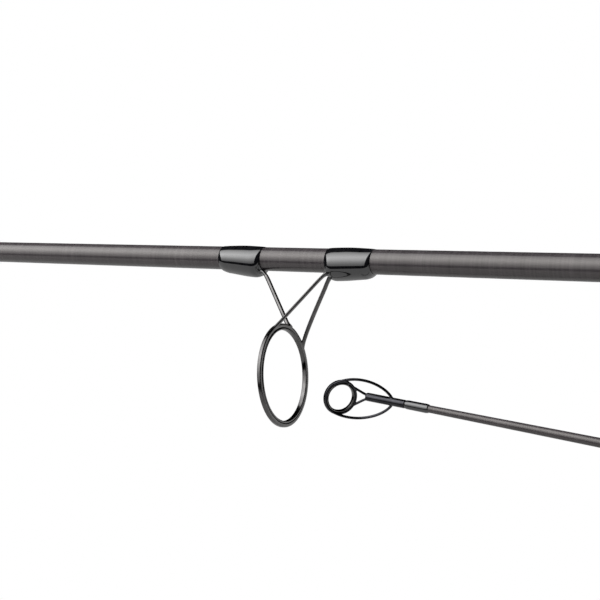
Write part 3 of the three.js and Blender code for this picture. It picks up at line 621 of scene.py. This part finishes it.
def leg_path(guide, foot, across, end, arrival=None):
    """From the foot's tip along the blank, up through the knee and on to the ring."""
    tip_x, bend_x = foot
    z = max(foot_height(guide, tip_x, abs(across)), foot_height(guide, bend_x, abs(across)))
    if guide.family == "one_foot":
        z = blank_at(guide, bend_x) + 2 * GLUE_GAP + guide.leg_thickness / 2
    tip = Vector((guide.station + tip_x, across, z))
    bend = Vector((guide.station + bend_x, across, z))
    rise = guide.leg_thickness * (KNEE_RISE_SHARE if guide.family == "three_leg" else 1)
    knee = bend + (bend - tip).normalized() * rise
    leg_start = knee.lerp(end, KNEE_SHARE)
    path = [tip.lerp(bend, share) for share in spread(0, 1, FOOT_STEPS)]
    path += [bezier((bend, knee, leg_start), share) for share in spread(0, 1, KNEE_STEPS)[1:]]
    if arrival is None:
        rest = (leg_start, end)
    else:
        ease = end - arrival
        rest = (leg_start, leg_start.lerp(ease, 0.5), ease, end)
    path += [bezier(rest, share) for share in spread(0, 1, LEG_STEPS)[1:]]
    if arrival is not None:
        side = math.copysign(1, across)
        run_on = spread(REAR_SPLAY, REAR_SPLAY + RUN_ON, 12)[1:]
        path += [ring_point(guide, angle, side) for angle in run_on]
    return path


def leg_paths(guide):
    if guide.family == "one_foot":
        ends = [ring_point(guide, 0, 1), ring_point(guide, ONE_FOOT_SPLAY, -1),
                ring_point(guide, ONE_FOOT_SPLAY, 1)]
        return [leg_path(guide, guide.front_foot, 0, end) for end in ends]
    paths = [leg_path(guide, guide.front_foot, 0, ring_point(guide, 0, 1))]
    for side in (-1, 1):
        end = ring_point(guide, REAR_SPLAY, side)
        arrival = Vector((0, side * math.cos(REAR_SPLAY), math.sin(REAR_SPLAY)))
        arrival *= guide.radius * ARRIVAL_SHARE
        paths.append(leg_path(guide, guide.rear_foot, side * guide.rear_spread, end, arrival))
    return paths


def leg_shape(guide, front):
    """The foot is ground thin at its tip; a front leg is thicker and flares where it meets the ring."""
    def shape(share):
        thin = mix(LEG_TIP_THINNING, 1.0, smoothstep(0.0, 0.22, share))
        if not front:
            width = guide.leg_width * mix(1.0, 0.85, smoothstep(0.6, 1.0, share))
            return width, guide.leg_thickness * thin
        body = mix(1.0, FRONT_LEG_THICKENING, smoothstep(0.3, 0.5, share))
        flare = 1 + LEG_FLARE * smoothstep(0.93, 1.0, share) ** 2
        return guide.leg_width * 0.9 * flare, guide.leg_thickness * thin * body * flare
    return shape


def ring_place(guide):
    turn = Matrix.Rotation(guide.lean, 4, "Y")
    return Matrix.Translation((guide.station, 0, guide.height)) @ turn


def guide_frame(guide):
    bm = bmesh.new()
    outline = hoop_outline(guide.radius, guide.frame_inner, guide.depth, guide.depth * 0.3)
    add_hoop(bm, outline, ring_place(guide), 160)
    for path in leg_paths(guide):
        front = path[0].x < guide.station
        add_sweep(bm, clip_path(guide, path), Y_AXIS, leg_shape(guide, front))
    obj = welded(guide.name + "_frame_look", bm, guide.section, guide.voxel)
    place(obj, guide.name + "_frame", "smoke_metal", guide.section.body)


def clip_path(guide, path):
    """Stops a leg inside the ring's wall, so that nothing stands in the hole."""
    centre = Vector((guide.station, 0, guide.height))
    keep = guide.frame_inner + RING_EMBED

    def distance(point):
        offset = point - centre
        return math.hypot(offset.y, offset.dot(up_ring(guide)))

    return [point for point in path if distance(point) > keep]


def ring_insert(node, section, ring, outer, hole, depth, sides):
    """The hard ring that the line runs on: a full round standing proud of its frame."""
    bm = bmesh.new()
    outline = hoop_outline(outer - 0.02, hole, depth * 1.2, (outer - hole) * 0.49)
    add_hoop(bm, outline, ring, sides)
    place(finish_mesh(node + "_look", bm, section, 60), node, "ring_metal", section.body)


def guide_insert(guide):
    ring_insert(guide.name + "_ring", guide.section, ring_place(guide), guide.frame_inner,
                guide.hole, guide.depth, 180)


def collar_shape(guide):
    """Epoxy that has crept round the knee and up the leg, thinning out along it."""
    def shape(share):
        creep = 1 - smoothstep(0.35, 1.0, share)
        swell = 0.06 + 1.3 * guide.leg_thickness * creep * smoothstep(-0.2, 0.25, share)
        return guide.leg_width + swell, guide.leg_thickness + swell
    return shape


def hull(points):
    """The convex outline of (y, z) points, anticlockwise."""
    points = sorted(set(points))

    def half(sequence):
        chain = []
        for p in sequence:
            while len(chain) > 1:
                a, b = chain[-2], chain[-1]
                if (b[0] - a[0]) * (p[1] - a[1]) - (b[1] - a[1]) * (p[0] - a[0]) > 0:
                    break
                chain.pop()
            chain.append(p)
        return chain[:-1]

    return half(points) + half(points[::-1])


def polar_hull(points, angles):
    """Distance from the axis to the convex outline of some points, at each angle from +Z."""
    outline = hull(points)
    radii = []
    for angle in angles:
        ray = (math.sin(angle), math.cos(angle))
        best = 0.0
        for a, b in zip(outline, outline[1:] + outline[:1]):
            edge = (b[0] - a[0], b[1] - a[1])
            cross = ray[0] * edge[1] - ray[1] * edge[0]
            if abs(cross) < 1e-12:
                continue
            along = (a[0] * edge[1] - a[1] * edge[0]) / cross
            share = (a[0] * ray[1] - a[1] * ray[0]) / cross
            if along > 0 and -1e-9 <= share <= 1 + 1e-9:
                best = max(best, along)
        radii.append(best)
    return radii


def soften(radii, passes):
    """Rounds off a ring of radii."""
    values = np.array(radii)
    for _ in range(passes):
        values = values * 0.5 + (np.roll(values, 1) + np.roll(values, -1)) * 0.25
    return values


def wrap_piece(guide, node, feet, leg_end):
    """Epoxy over a foot: round beads at both ends and a swelling that follows the foot's metal.

    feet are the y offsets of the feet under it, and leg_end is +1 if the leg leaves at its high x."""
    section = guide.section
    low, high = extent(node, section)
    start, end = low.x, high.x
    angles = turn_angles(WRAP_SIDES)
    foot = guide.front_foot if leg_end > 0 else guide.rear_foot
    tip_x, bend_x = guide.station + foot[0], guide.station + foot[1]
    bead = min(BEAD, (end - start) * BEAD_SHARE)
    swollen = high.z - section.blank((start + end) / 2)
    far_swell = FRONT_FAR_SWELL if leg_end > 0 else REAR_FAR_SWELL
    rings = []
    for x in bead_stations(start, end, bead):
        blank = section.blank(x)
        edge = min(x - start, end - x)
        full = quarter_round(edge, bead)
        barrel = mix(END_BUILD_SHARE, 1.0, smoothstep(0, (end - start) / 2, edge))
        build = WRAP_EDGE + guide.build * BACK_BUILD_SHARE * barrel * full
        towards_leg = (x - start) / (end - start) if leg_end > 0 else (end - x) / (end - start)
        swelling = mix(far_swell, 1.0, smoothstep(-0.1, 0.85, towards_leg))
        crest = blank + max(build, swollen * CREST_GAIN * full * swelling)
        radius = (blank + build + crest) / 2
        shift = crest - radius
        points = [(radius * math.sin(a), radius * math.cos(a) + shift) for a in angles]
        along_foot = (x - tip_x) / (bend_x - tip_x)
        metal = guide.leg_thickness * mix(LEG_TIP_THINNING, 1.0, smoothstep(0.0, 0.5, along_foot))
        covered = feet if along_foot >= 0 else []
        for across in covered:
            underside = foot_height(guide, x - guide.station, abs(across)) - guide.leg_thickness / 2
            half = guide.leg_width / 2 + FOOT_MARGIN
            cover = underside + metal + FOOT_COVER
            lift = mix(blank, cover, full * smoothstep(0, 0.15, along_foot))
            points += [(across - half * 0.8, lift), (across + half * 0.8, lift),
                       (across - half, lift - 0.45 * metal), (across + half, lift - 0.45 * metal)]
        points = [(round(y, 6), round(z, 6)) for y, z in points]
        rings.append(polar_ring(x, soften(polar_hull(points, angles), 6), angles))
    inner = [circle(x, section.blank(x) + SKIN_GAP, WRAP_SIDES) for x in (end, start)]
    bm = bmesh.new()
    add_rings(bm, rings + inner, closed_loop=True)
    for path in leg_paths(guide):
        if (path[0].x < guide.station) == (leg_end > 0):
            climbed = path[COLLAR_START:COLLAR_END]
            add_sweep(bm, climbed, Y_AXIS, collar_shape(guide), squareness=2)
    obj = finish_mesh(node + "_look", bm, section, 75)
    place(obj, node, "epoxy", section.body)


def quarter_round(edge, length):
    """How full a rounded end is, from 0 at its edge to 1 a length further in."""
    return math.sqrt(1 - (1 - min(edge / length, 1)) ** 2)


def bead_stations(start, end, bead):
    """Places along a wrap, close together where its ends round off."""
    ends = [bead * (1 - math.cos(math.pi / 2 * share)) for share in spread(0, 1, 14)]
    middle = spread(start + bead, end - bead, 60)
    return [start + e for e in ends] + middle[1:-1] + [end - e for e in reversed(ends)]


def build_guides():
    guides = [butt_guide(), small_three_leg_guide("second_guide"), small_three_leg_guide("third_guide"),
              one_foot_guide("fourth_guide"), one_foot_guide("fifth_guide")]
    for guide in guides:
        guide_frame(guide)
        guide_insert(guide)
        if guide.family == "one_foot":
            wrap_piece(guide, guide.name + "_wrap", [0], 1)
        else:
            wrap_piece(guide, guide.name + "_front_wrap", [0], 1)
            wrap_piece(guide, guide.name + "_rear_wrap", [-guide.rear_spread, guide.rear_spread], -1)


# ---- tip-top ----
TOP_RADIUS = 7.35
TOP_WALL = 1.9
TOP_DEPTH = 1.7
TOP_INSERT_SHARE = 0.4
TOP_VOXEL = 0.11
TOP_AHEAD = 8.2
TOP_HEIGHT = 7.4
TUBE_LENGTH = 17.8
TUBE_RADIUS = 1.74
ARM_THICKNESS = 1.15
ARM_ROOT = 11.9
ARM_ANGLE = math.radians(49)
FORK_THICKNESS = 1.05
FORK_ANGLE = math.radians(144)


def on_top_ring(angle, side, radius):
    upward = Vector((-math.sin(TOP_TILT), 0, math.cos(TOP_TILT)))
    centre = Vector((-TOP_AHEAD, 0, TOP_HEIGHT))
    return centre + upward * radius * math.cos(angle) + Vector((0, side * radius * math.sin(angle), 0))


def tip_top():
    place_ring = Matrix.Translation((-TOP_AHEAD, 0, TOP_HEIGHT)) @ Matrix.Rotation(-TOP_TILT, 4, "Y")
    frame_inner = TOP_RADIUS - TOP_WALL * (1 - TOP_INSERT_SHARE)
    middle = (TOP_RADIUS + frame_inner) / 2
    bm = bmesh.new()
    add_hoop(bm, hoop_outline(TOP_RADIUS, frame_inner, TOP_DEPTH, TOP_DEPTH * 0.33), place_ring, 120)
    tube = [circle(p.x, p.y, 48) for p in rounded([(0, 0.3), (0, TUBE_RADIUS, 0.7),
                                                  (TUBE_LENGTH, TUBE_RADIUS, 0.2), (TUBE_LENGTH, 0.3)])]
    add_rings(bm, tube)
    for side in (-1, 1):
        nose = Vector((0.2, side * 0.75, 0.3))
        root = Vector((2, side * 0.5, 0.2))
        end = on_top_ring(FORK_ANGLE, side, middle)
        fork = [bezier((root, nose, nose.lerp(end, 0.25)), s) for s in spread(0, 1, 8)]
        fork += [nose.lerp(end, s) for s in spread(0.25, 1, 10)[1:]]
        add_sweep(bm, fork, Z_AXIS, lambda s: (FORK_THICKNESS, FORK_THICKNESS))
        out = Vector((ARM_ROOT, side * 1.25, 0.15))
        arm = [Vector((ARM_ROOT + 1.5, side, 0.1)).lerp(out, s) for s in spread(0, 1, 4)]
        bow = (out, Vector((ARM_ROOT - 3.2, side * 7, 0.9)), Vector((-3.5, side * 11.4, 5.2)),
               on_top_ring(ARM_ANGLE, side, middle))
        arm += [bezier(bow, s) for s in spread(0, 1, 40)[1:]]
        add_sweep(bm, arm, Z_AXIS, lambda s: (ARM_THICKNESS, ARM_THICKNESS))
    obj = welded("tip_top_frame_look", bm, TIP, TOP_VOXEL)
    place(obj, "tip_top_frame", "black_metal", TIP.body)

    ring_insert("tip_top_ring", TIP, place_ring, frame_inner, TOP_RADIUS - TOP_WALL, TOP_DEPTH, 120)


def round_wrap(node, section, cover, build):
    """A wrap with no foot under it, with rounded ends, over a radius cover(x)."""
    low, high = extent(node, section)
    bead = min(1.6, (high.x - low.x) * 0.2)
    outline = []
    for x in bead_stations(low.x, high.x, bead):
        edge = min(x - low.x, high.x - x)
        outline.append((x, cover(x) + 2 * SKIN_GAP + build * quarter_round(edge, bead)))
    outline += [(x, cover(x) + SKIN_GAP) for x in (high.x, low.x)]
    place(turned(node + "_look", outline, section, 96, 75), node, "epoxy", section.body)


# ---- blanks and ferrule ----
def blank_tube(node, section, wall, solid_until=None):
    """A tapered tube whose skin waves slightly, as cured tape does."""
    low, high = extent(node, section)
    xs = spread(low.x, high.x, 470)
    waves = [(random.uniform(0, FULL_TURN), random.uniform(5, 19)) for _ in range(6)]

    def skin(x):
        wave = sum(math.sin(phase + x * FULL_TURN / period) for phase, period in waves)
        return section.blank(x) + 0.003 * wave

    outline = [(x, skin(x)) for x in xs]
    bore_from = low.x if solid_until is None else solid_until
    bore = [(high.x, section.blank(high.x) - wall), (bore_from, section.blank(bore_from) - wall)]
    if solid_until is not None:
        bore += [(bore_from, 0.02), (low.x, 0.02)]
    return turned(node + "_look", outline + bore, section, 96, 50)


def build_blanks():
    place(blank_tube("butt_blank", BUTT, BLANK_WALL), "butt_blank", "carbon", BUTT.body)
    tip_tube = blank_tube("tip_blank", TIP, TIP_WALL, solid_until=TIP_BORE_START)
    place(tip_tube, "tip_blank", "carbon", TIP.body)
    sleeve()
    end_plug()
    round_wrap("tip_top_wrap", TIP, tip_blank_radius, 0.36)


def sleeve_outside(t):
    shoulder = TIP_BASE - SLEEVE_SHOULDER
    step = BUTT.blank(-GUIDE_TO_MALE_END) + SLEEVE_WALL
    mouth = step + (TIP_LENGTH - TIP_BASE) * BUTT_TAPER / 2
    return mix(step, mouth, (t - shoulder) / (TIP_LENGTH - shoulder))


def sleeve():
    low, high = extent("ferrule_sleeve", TIP)
    shoulder = TIP_BASE - SLEEVE_SHOULDER
    outside = sleeve_outside(shoulder)
    nose = tip_blank_radius(low.x) + 0.45
    male = BUTT.blank(-GUIDE_TO_MALE_END) + 0.1
    mouth = male + (high.x - TIP_BASE) * BUTT_TAPER / 2
    points = [(low.x, tip_blank_radius(low.x) + 0.1), (low.x, nose, 0.15)]
    points += [(t, mix(nose, outside, smoothstep(low.x, shoulder, t)))
               for t in spread(low.x + 1, shoulder, 24)]
    points += [(high.x, sleeve_outside(high.x), 0.4), (high.x, mouth, 0.3), (TIP_BASE + 0.4, male),
               (TIP_BASE, tip_blank_radius(TIP_BASE) + 0.1)]
    place(turned("ferrule_sleeve_look", points, TIP), "ferrule_sleeve", "carbon", TIP.body)
    round_wrap("ferrule_whipping", TIP, sleeve_outside, 0.55)


def end_plug():
    low, high = extent("blank_end_plug", BUTT)
    head = butt_blank_radius(-GUIDE_TO_MALE_END)
    shoulder = -GUIDE_TO_MALE_END - GLUE_GAP
    stem = head - BLANK_WALL - 0.05
    points = [(low.x, head - 2.6), (low.x, head - 1.0, 0.9), (low.x + 1.3, head - 0.3, 0.5),
              (shoulder, head - 0.3, 0.15), (shoulder, stem)]
    for i in range(4):
        rib = shoulder + 1.4 + i * 2.1
        points += [(rib, stem - 0.25), (rib + 0.5, stem), (rib + 1.0, stem - 0.25)]
    points += [(high.x, stem - 0.3, 0.4), (high.x, 0.4)]
    plug = turned("blank_end_plug_look", points, BUTT, 64, closed_loop=False)
    place(plug, "blank_end_plug", "rubber", BUTT.body)


# ---- handle ----
def bore_of(x):
    return butt_blank_radius(x) + 0.05


def ring_piece(node, slot, profile, rounding=0.5, grooves=0):
    """A short turned ring on the blank; profile is its outer radius at its low and high end."""
    low, high = extent(node, BUTT)
    first, last = profile
    points = [(low.x, bore_of(low.x)), (low.x, first, rounding)]
    for i in range(grooves):
        x = mix(low.x, high.x, (i + 1) / (grooves + 1))
        radius = mix(first, last, (i + 1) / (grooves + 1))
        points += [(x - 0.32, radius), (x - 0.16, radius - 0.22),
                   (x + 0.16, radius - 0.22), (x + 0.32, radius)]
    points += [(high.x, last, rounding), (high.x, bore_of(high.x))]
    place(turned(node + "_look", points, BUTT, 128), node, slot, BUTT.body)


def end_radii(node):
    """A CAD ring's outer radius near its low and its high end."""
    points = local_points(node, BUTT)
    radii = np.hypot(points[:, 1], points[:, 2])
    low_half = points[:, 0] < (points[:, 0].min() + points[:, 0].max()) / 2
    return radii[low_half].max(), radii[~low_half].max()


def metal_rings():
    for node, grooves in (("butt_trim_ring", 1), ("rear_grip_check", 1), ("seat_rear_check", 1),
                          ("seat_front_ring", 1), ("front_winding_check", 1)):
        ring_piece(node, "trim_metal", end_radii(node), 0.6, grooves)


def butt_cap():
    low, high = extent("butt_cap", BUTT)
    radius = (high.y - low.y) / 2
    disc_low, disc_high = extent("butt_cap_disc", BUTT)
    disc = (disc_high.y - disc_low.y) / 2
    blank_end = GUIDE_STATION - BLANK_INSET
    points = [(low.x, bore_of(low.x)), (low.x, radius - 0.4, 0.5)]
    for i in range(4):
        groove = low.x + 3 + i * 2.6
        points += [(groove, radius, 0.2), (groove + 0.35, radius - 0.5, 0.2),
                   (groove + 0.95, radius - 0.5, 0.2), (groove + 1.3, radius, 0.2)]
    points += [(high.x, radius, 3.0), (high.x, disc + 0.1, 0.3), (high.x - 1.7, disc + 0.1),
               (high.x - 1.7, 0.3), (blank_end + 0.1, 0.3), (blank_end + 0.1, bore_of(blank_end))]
    place(turned("butt_cap_look", points, BUTT, 128), "butt_cap", "rubber", BUTT.body)

    points = [(disc_low.x, 0.05), (disc_low.x, disc), (disc_high.x, disc, 0.35)]
    for share in (0.82, 0.5):
        step = disc * share
        points += [(disc_high.x, step + 0.25), (disc_high.x - 0.25, step + 0.1),
                   (disc_high.x - 0.25, step - 0.1), (disc_high.x, step - 0.25)]
    points += [(disc_high.x, 1.3), (disc_high.x - 0.5, 0.9), (disc_high.x - 0.5, 0.05)]
    place(turned("butt_cap_disc_look", points, BUTT, 128), "butt_cap_disc", "trim_metal", BUTT.body)


REAR_GRIP_FOAM = [6.4, 6.1, 5.4, 3.4]
FOREGRIP_FOAM = [7.2, 7.9, 7.6, 6.3, 4.2]


def grip(node, foam_walls, round_end=1.6):
    """A shaped foam grip: a smooth curve through its wall thicknesses, butt end first."""
    low, high = extent(node, BUTT)
    last = len(foam_walls) - 1

    def wall_at(share):
        place_in = share * last
        i = min(int(place_in), last - 1)
        a, b, c, d = [foam_walls[min(max(k, 0), last)] for k in range(i - 1, i + 3)]
        u = place_in - i
        return 0.5 * (2 * b + (c - a) * u + (2 * a - 5 * b + 4 * c - d) * u * u
                      + (3 * b - a - 3 * c + d) * u ** 3)

    grain = [(random.uniform(0, FULL_TURN), random.uniform(2, 9), random.randint(1, 7))
             for _ in range(8)]

    def outer(x, angle):
        edge = min(x - low.x, high.x - x)
        turn_in = round_end * (1 - quarter_round(edge, round_end))
        dimple = sum(math.sin(phase + x / period + lobes * angle) for phase, period, lobes in grain)
        wall = wall_at((high.x - x) / (high.x - low.x))
        return butt_blank_radius(x) + wall - turn_in + 0.006 * dimple

    xs = bead_stations(low.x, high.x, round_end)
    obj = polar_tube(node + "_look", xs, outer, lambda x, a: bore_of(x), BUTT, 128, 60)
    place(obj, node, "foam", BUTT.body)


# ---- reel seat ----
SEAT_WALL = 2.6
RUNNING_GAP = 0.3
HOOD_WALL = 1.7
POCKET_HALF = 6.2
POCKET_END_WALL = 6
POCKET_ROUND = 1.6
HOOD_ROUND = 0.9
ARCH_POWER = 5                    # how square the arch over the pocket is
FOOT_BED_DEPTH = 1.3              # the flat for the reel's foot, below the seat's round
LOWER_FLAT_DEPTH = 1.7            # the lower flat that the foot's ends slide over
HOOD_CROWN = 2.0
THREAD_SPAN = (8, 56)             # from the seat's rear end
THREAD_DEPTH = 0.5
CROWN_HALF = POCKET_HALF + HOOD_WALL
NUT_FLUTES = 14
NUT_ROUND = 0.8


def seat_sizes():
    low, high = extent("reel_seat_body", BUTT)
    radius = (high.y - low.y) / 2
    hood_low, hood_high = extent("moving_hood", BUTT)
    fixed_low, fixed_high = extent("fixed_hood", BUTT)
    return SimpleNamespace(
        low=low.x, high=high.x, radius=radius, bore=radius - SEAT_WALL,
        bed=radius - FOOT_BED_DEPTH, lower_flat=radius - LOWER_FLAT_DEPTH,
        thread_high=high.x - THREAD_SPAN[0], thread_low=high.x - THREAD_SPAN[1],
        hood=(hood_low.x, hood_high.x), fixed=(fixed_low.x, fixed_high.x), crest=hood_high.z,
        hood_bore=radius + RUNNING_GAP, hood_outer=radius + RUNNING_GAP + HOOD_WALL,
        pocket_top=hood_high.z - HOOD_CROWN)


def seat_body(seat):
    bed_low, bed_high = seat.fixed[1] - 1.5, seat.hood[0] + 1.5
    lower_low, lower_high = seat.fixed[1] - 18, seat.hood[0] + 18

    def outer(x, angle):
        radius = seat.radius
        if seat.thread_low < x < seat.thread_high:
            edge = min(x - seat.thread_low, seat.thread_high - x)
            turn = (x / THREAD_PITCH + angle / FULL_TURN) % 1.0
            tooth = abs(turn * 2 - 1)
            radius -= min(edge, 1) * (0.12 + 0.42 * smoothstep(0.15, 0.85, tooth))
        flat = None
        if bed_low <= x <= bed_high:
            flat = seat.bed
        elif lower_low <= x <= lower_high:
            flat = seat.lower_flat
        if flat and math.cos(angle) > 0:
            radius = min(radius, flat / max(math.cos(angle), 0.2))
        return radius

    plain = spread(seat.low, seat.thread_low, 90)
    threads = spread(seat.thread_low, seat.thread_high, 384)
    xs = plain[:-1] + threads + spread(seat.thread_high, seat.high, 12)[1:]
    obj = polar_tube("reel_seat_body_look", xs, outer, lambda x, a: seat.bore, BUTT, 144, 50)
    place(obj, "reel_seat_body", "seat_plastic", BUTT.body)


def hood(node, seat, span, open_low, body):
    """A hood: a ring with a crowned arch over the reel foot's pocket, which opens to one side."""
    low, high = span
    length = high - low
    arch_half = CROWN_HALF + 0.4
    pocket_depth = length - POCKET_END_WALL
    corner = math.atan2(POCKET_HALF, seat.pocket_top)

    def from_open(x):
        return x - low if open_low else high - x

    def from_top(angle):
        return abs((angle + math.pi) % FULL_TURN - math.pi)

    def outer(x, angle):
        depth = from_open(x)
        rise = 1 - smoothstep(length * 0.45, length - 1.2, depth)
        turn_in = HOOD_ROUND * (1 - quarter_round(min(depth, length - depth), HOOD_ROUND))
        ring = seat.hood_outer
        away = from_top(angle)
        arch = ring
        if away < math.pi / 2:
            y_share = math.sin(away) / arch_half
            z_share = math.cos(away) / seat.crest
            arch = (y_share ** ARCH_POWER + z_share ** ARCH_POWER) ** (-1 / ARCH_POWER)
        return mix(ring, max(arch, ring), rise) - turn_in

    def inner(x, angle):
        radius = seat.hood_bore
        away = from_top(angle)
        if away < math.pi / 2:
            wall = seat.pocket_top / math.cos(away) if away < corner else POCKET_HALF / math.sin(away)
            share = 1 - smoothstep(pocket_depth - POCKET_ROUND, pocket_depth, from_open(x))
            radius = mix(radius, max(wall, radius), share)
        return radius

    xs = bead_stations(low, high, HOOD_ROUND)
    obj = polar_tube(node + "_look", xs, outer, inner, BUTT, 180, 45, xs)
    place(obj, node, "seat_plastic", body)


def lock_nut(seat):
    """A nut with scalloped flutes, fine grip ribs between them and a collar next to the hood."""
    low, high = extent("lock_nut", BUTT)
    ring_low, ring_high = extent("lock_nut_ring", BUTT)
    radius = (ring_high.y - ring_low.y) / 2
    bore = seat.radius - THREAD_DEPTH + RUNNING_GAP
    shoulder = ring_low.x - GLUE_GAP
    flutes_end = shoulder - low.x

    def outer(x, angle):
        if x > shoulder:
            return radius - 1.0
        turn_in = NUT_ROUND * (1 - quarter_round(min(x - low.x, shoulder - x), NUT_ROUND))
        along = x - low.x
        share = smoothstep(2.0, 3.6, along)
        share *= 1 - smoothstep(flutes_end - 3.0, flutes_end - 1.6, along)
        scallop = 0.5 + 0.5 * math.cos(angle * NUT_FLUTES)
        ribs = 0.06 * math.cos(angle * NUT_FLUTES * 6)
        return radius - turn_in - share * (0.85 * scallop ** 2.2 + ribs)

    xs = spread(low.x, shoulder, 70) + [shoulder + 0.001, high.x]
    obj = polar_tube("lock_nut_look", xs, outer, lambda x, a: bore, BUTT, 336, 50)
    place(obj, "lock_nut", "seat_plastic", "nut")

    points = [(ring_low.x, radius - 0.95), (ring_low.x, radius, 0.4), (ring_high.x, radius - 0.1, 0.7),
              (ring_high.x, radius - 0.95)]
    obj = turned("lock_nut_ring_look", points, BUTT, 128)
    place(obj, "lock_nut_ring", "trim_metal", "nut")


def build_handle():
    metal_rings()
    butt_cap()
    grip("rear_grip", REAR_GRIP_FOAM)
    grip("foregrip", FOREGRIP_FOAM)
    seat = seat_sizes()
    seat_body(seat)
    hood("moving_hood", seat, seat.hood, True, "hood")
    hood("fixed_hood", seat, seat.fixed, False, "butt_section")
    lock_nut(seat)
    for node in ("seat_arbor_rear", "seat_arbor_front"):
        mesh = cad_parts[node].data
        mesh.materials.clear()
        mesh.materials.append(MATERIALS["foam"])


# ---- stage: floor, lights, world and camera ----
SOFTBOX_RADIUS = 0.9              # metres from here on
SOFTBOX_SPAN = (-1.7, -0.2)
TIP_SIDE_SPAN = (-3.0, -0.4)
BUTT_SIDE_SPAN = (-0.4, 2.0)
ARC_STEPS = 72
FLOOR_HALF = 6.0


def emission_material(name, strength=1.0):
    material = bpy.data.materials.new(name)
    material.use_nodes = True
    tree = material.node_tree
    tree.nodes.clear()
    output = tree.nodes.new("ShaderNodeOutputMaterial")
    light = tree.nodes.new("ShaderNodeEmission")
    light.inputs["Color"].default_value = (1, 1, 1, 1)
    light.inputs["Strength"].default_value = strength
    tree.links.new(light.outputs["Emission"], output.inputs["Surface"])
    return material, tree, light


def make_floor():
    mesh = bpy.data.meshes.new("floor")
    size = FLOOR_HALF
    corners = [(-size, -size, 0), (size, -size, 0), (size, size, 0), (-size, size, 0)]
    mesh.from_pydata(corners, [], [(0, 1, 2, 3)])
    floor = add_object("floor", mesh)
    mesh.materials.append(emission_material("floor_white")[0])
    floor.visible_glossy = False


def light_arc(name, from_angle, to_angle, span, profile, glossy_only):
    """A light bent round the rod, between two angles in degrees from straight up towards +Y.

    span is its x range, and profile lists its radiance at some of those angles."""
    centre = BUTT.matrix.translation
    vertices = []
    for i in range(ARC_STEPS + 1):
        angle = math.radians(mix(from_angle, to_angle, i / ARC_STEPS))
        for x in span:
            vertices.append((x, SOFTBOX_RADIUS * math.sin(angle), SOFTBOX_RADIUS * math.cos(angle)))
    faces = [(a, a + 1, a + 3, a + 2) for a in range(0, 2 * ARC_STEPS, 2)]
    mesh = bpy.data.meshes.new(name)
    mesh.from_pydata(vertices, [], faces)
    arc = add_object(name, mesh)
    arc.location = (0, centre.y, centre.z)
    brightest = max(level for _, level in profile)
    material, tree, light = emission_material(name + "_glow", strength=brightest)
    if len(profile) > 1:
        angle = combine(tree, "MULTIPLY", around_angle(tree), 180 / math.pi)
        share = remap(tree, angle, from_angle, to_angle, 0, 1)
        stops = [((a - from_angle) / (to_angle - from_angle), (level / brightest,) * 3)
                 for a, level in profile]
        tree.links.new(colour_ramp(tree, share, *stops), light.inputs["Color"])
    mesh.materials.append(material)
    arc.visible_camera = False
    arc.visible_shadow = False
    if glossy_only:
        arc.visible_diffuse = False


def make_lights():
    light_arc("softbox", -25.6, 80, SOFTBOX_SPAN, [
        (-25.6, 1.4), (-14, 2.2), (0, 3.7), (20, 6.8), (36, 7.8), (58, 5.2), (80, 2.2)], False)
    light_arc("tip_side_fill", -178, -44, TIP_SIDE_SPAN, [(-178, 0.45), (-120, 1.0), (-44, 1.2)], True)
    light_arc("butt_side_fill", -195, -44, BUTT_SIDE_SPAN, [(0, 1.2)], True)
    light_arc("butt_side_glow", -195, -150, BUTT_SIDE_SPAN, [(0, 1.6)], True)


def make_world():
    scene = bpy.context.scene
    world = bpy.data.worlds.new("studio")
    scene.world = world
    world.use_nodes = True
    tree = world.node_tree
    background = tree.nodes["Background"]
    rays = tree.nodes.new("ShaderNodeLightPath")
    tree.links.new(rays.outputs["Is Camera Ray"], background.inputs["Strength"])
    background.inputs["Color"].default_value = (1, 1, 1, 1)
    scene.view_settings.view_transform = "Standard"


def make_camera():
    az, el, roll = CAMERA_AZIMUTH, CAMERA_ELEVATION, CAMERA_ROLL
    back = Vector((math.sin(az) * math.cos(el), -math.cos(az) * math.cos(el), math.sin(el)))
    right = (-back).cross(Vector((0, 0, 1))).normalized()
    up = right.cross(-back)
    turned_right = right * math.cos(roll) + up * math.sin(roll)
    turned_up = up * math.cos(roll) - right * math.sin(roll)
    matrix = Matrix((turned_right, turned_up, back)).transposed().to_4x4()
    target = BUTT.matrix.translation + CAMERA_TARGET * MM
    matrix.translation = target + back * CAMERA_DISTANCE * MM
    data = bpy.data.cameras.new("camera")
    data.lens = CAMERA_LENS
    data.sensor_width = SENSOR_WIDTH
    data.shift_y = CAMERA_SHIFT
    data.clip_start = 0.01
    camera = add_object("camera", data)
    camera.matrix_world = matrix
    bpy.context.scene.camera = camera


build_blanks()
build_guides()
tip_top()
build_handle()
make_floor()
make_lights()
make_world()
make_camera()
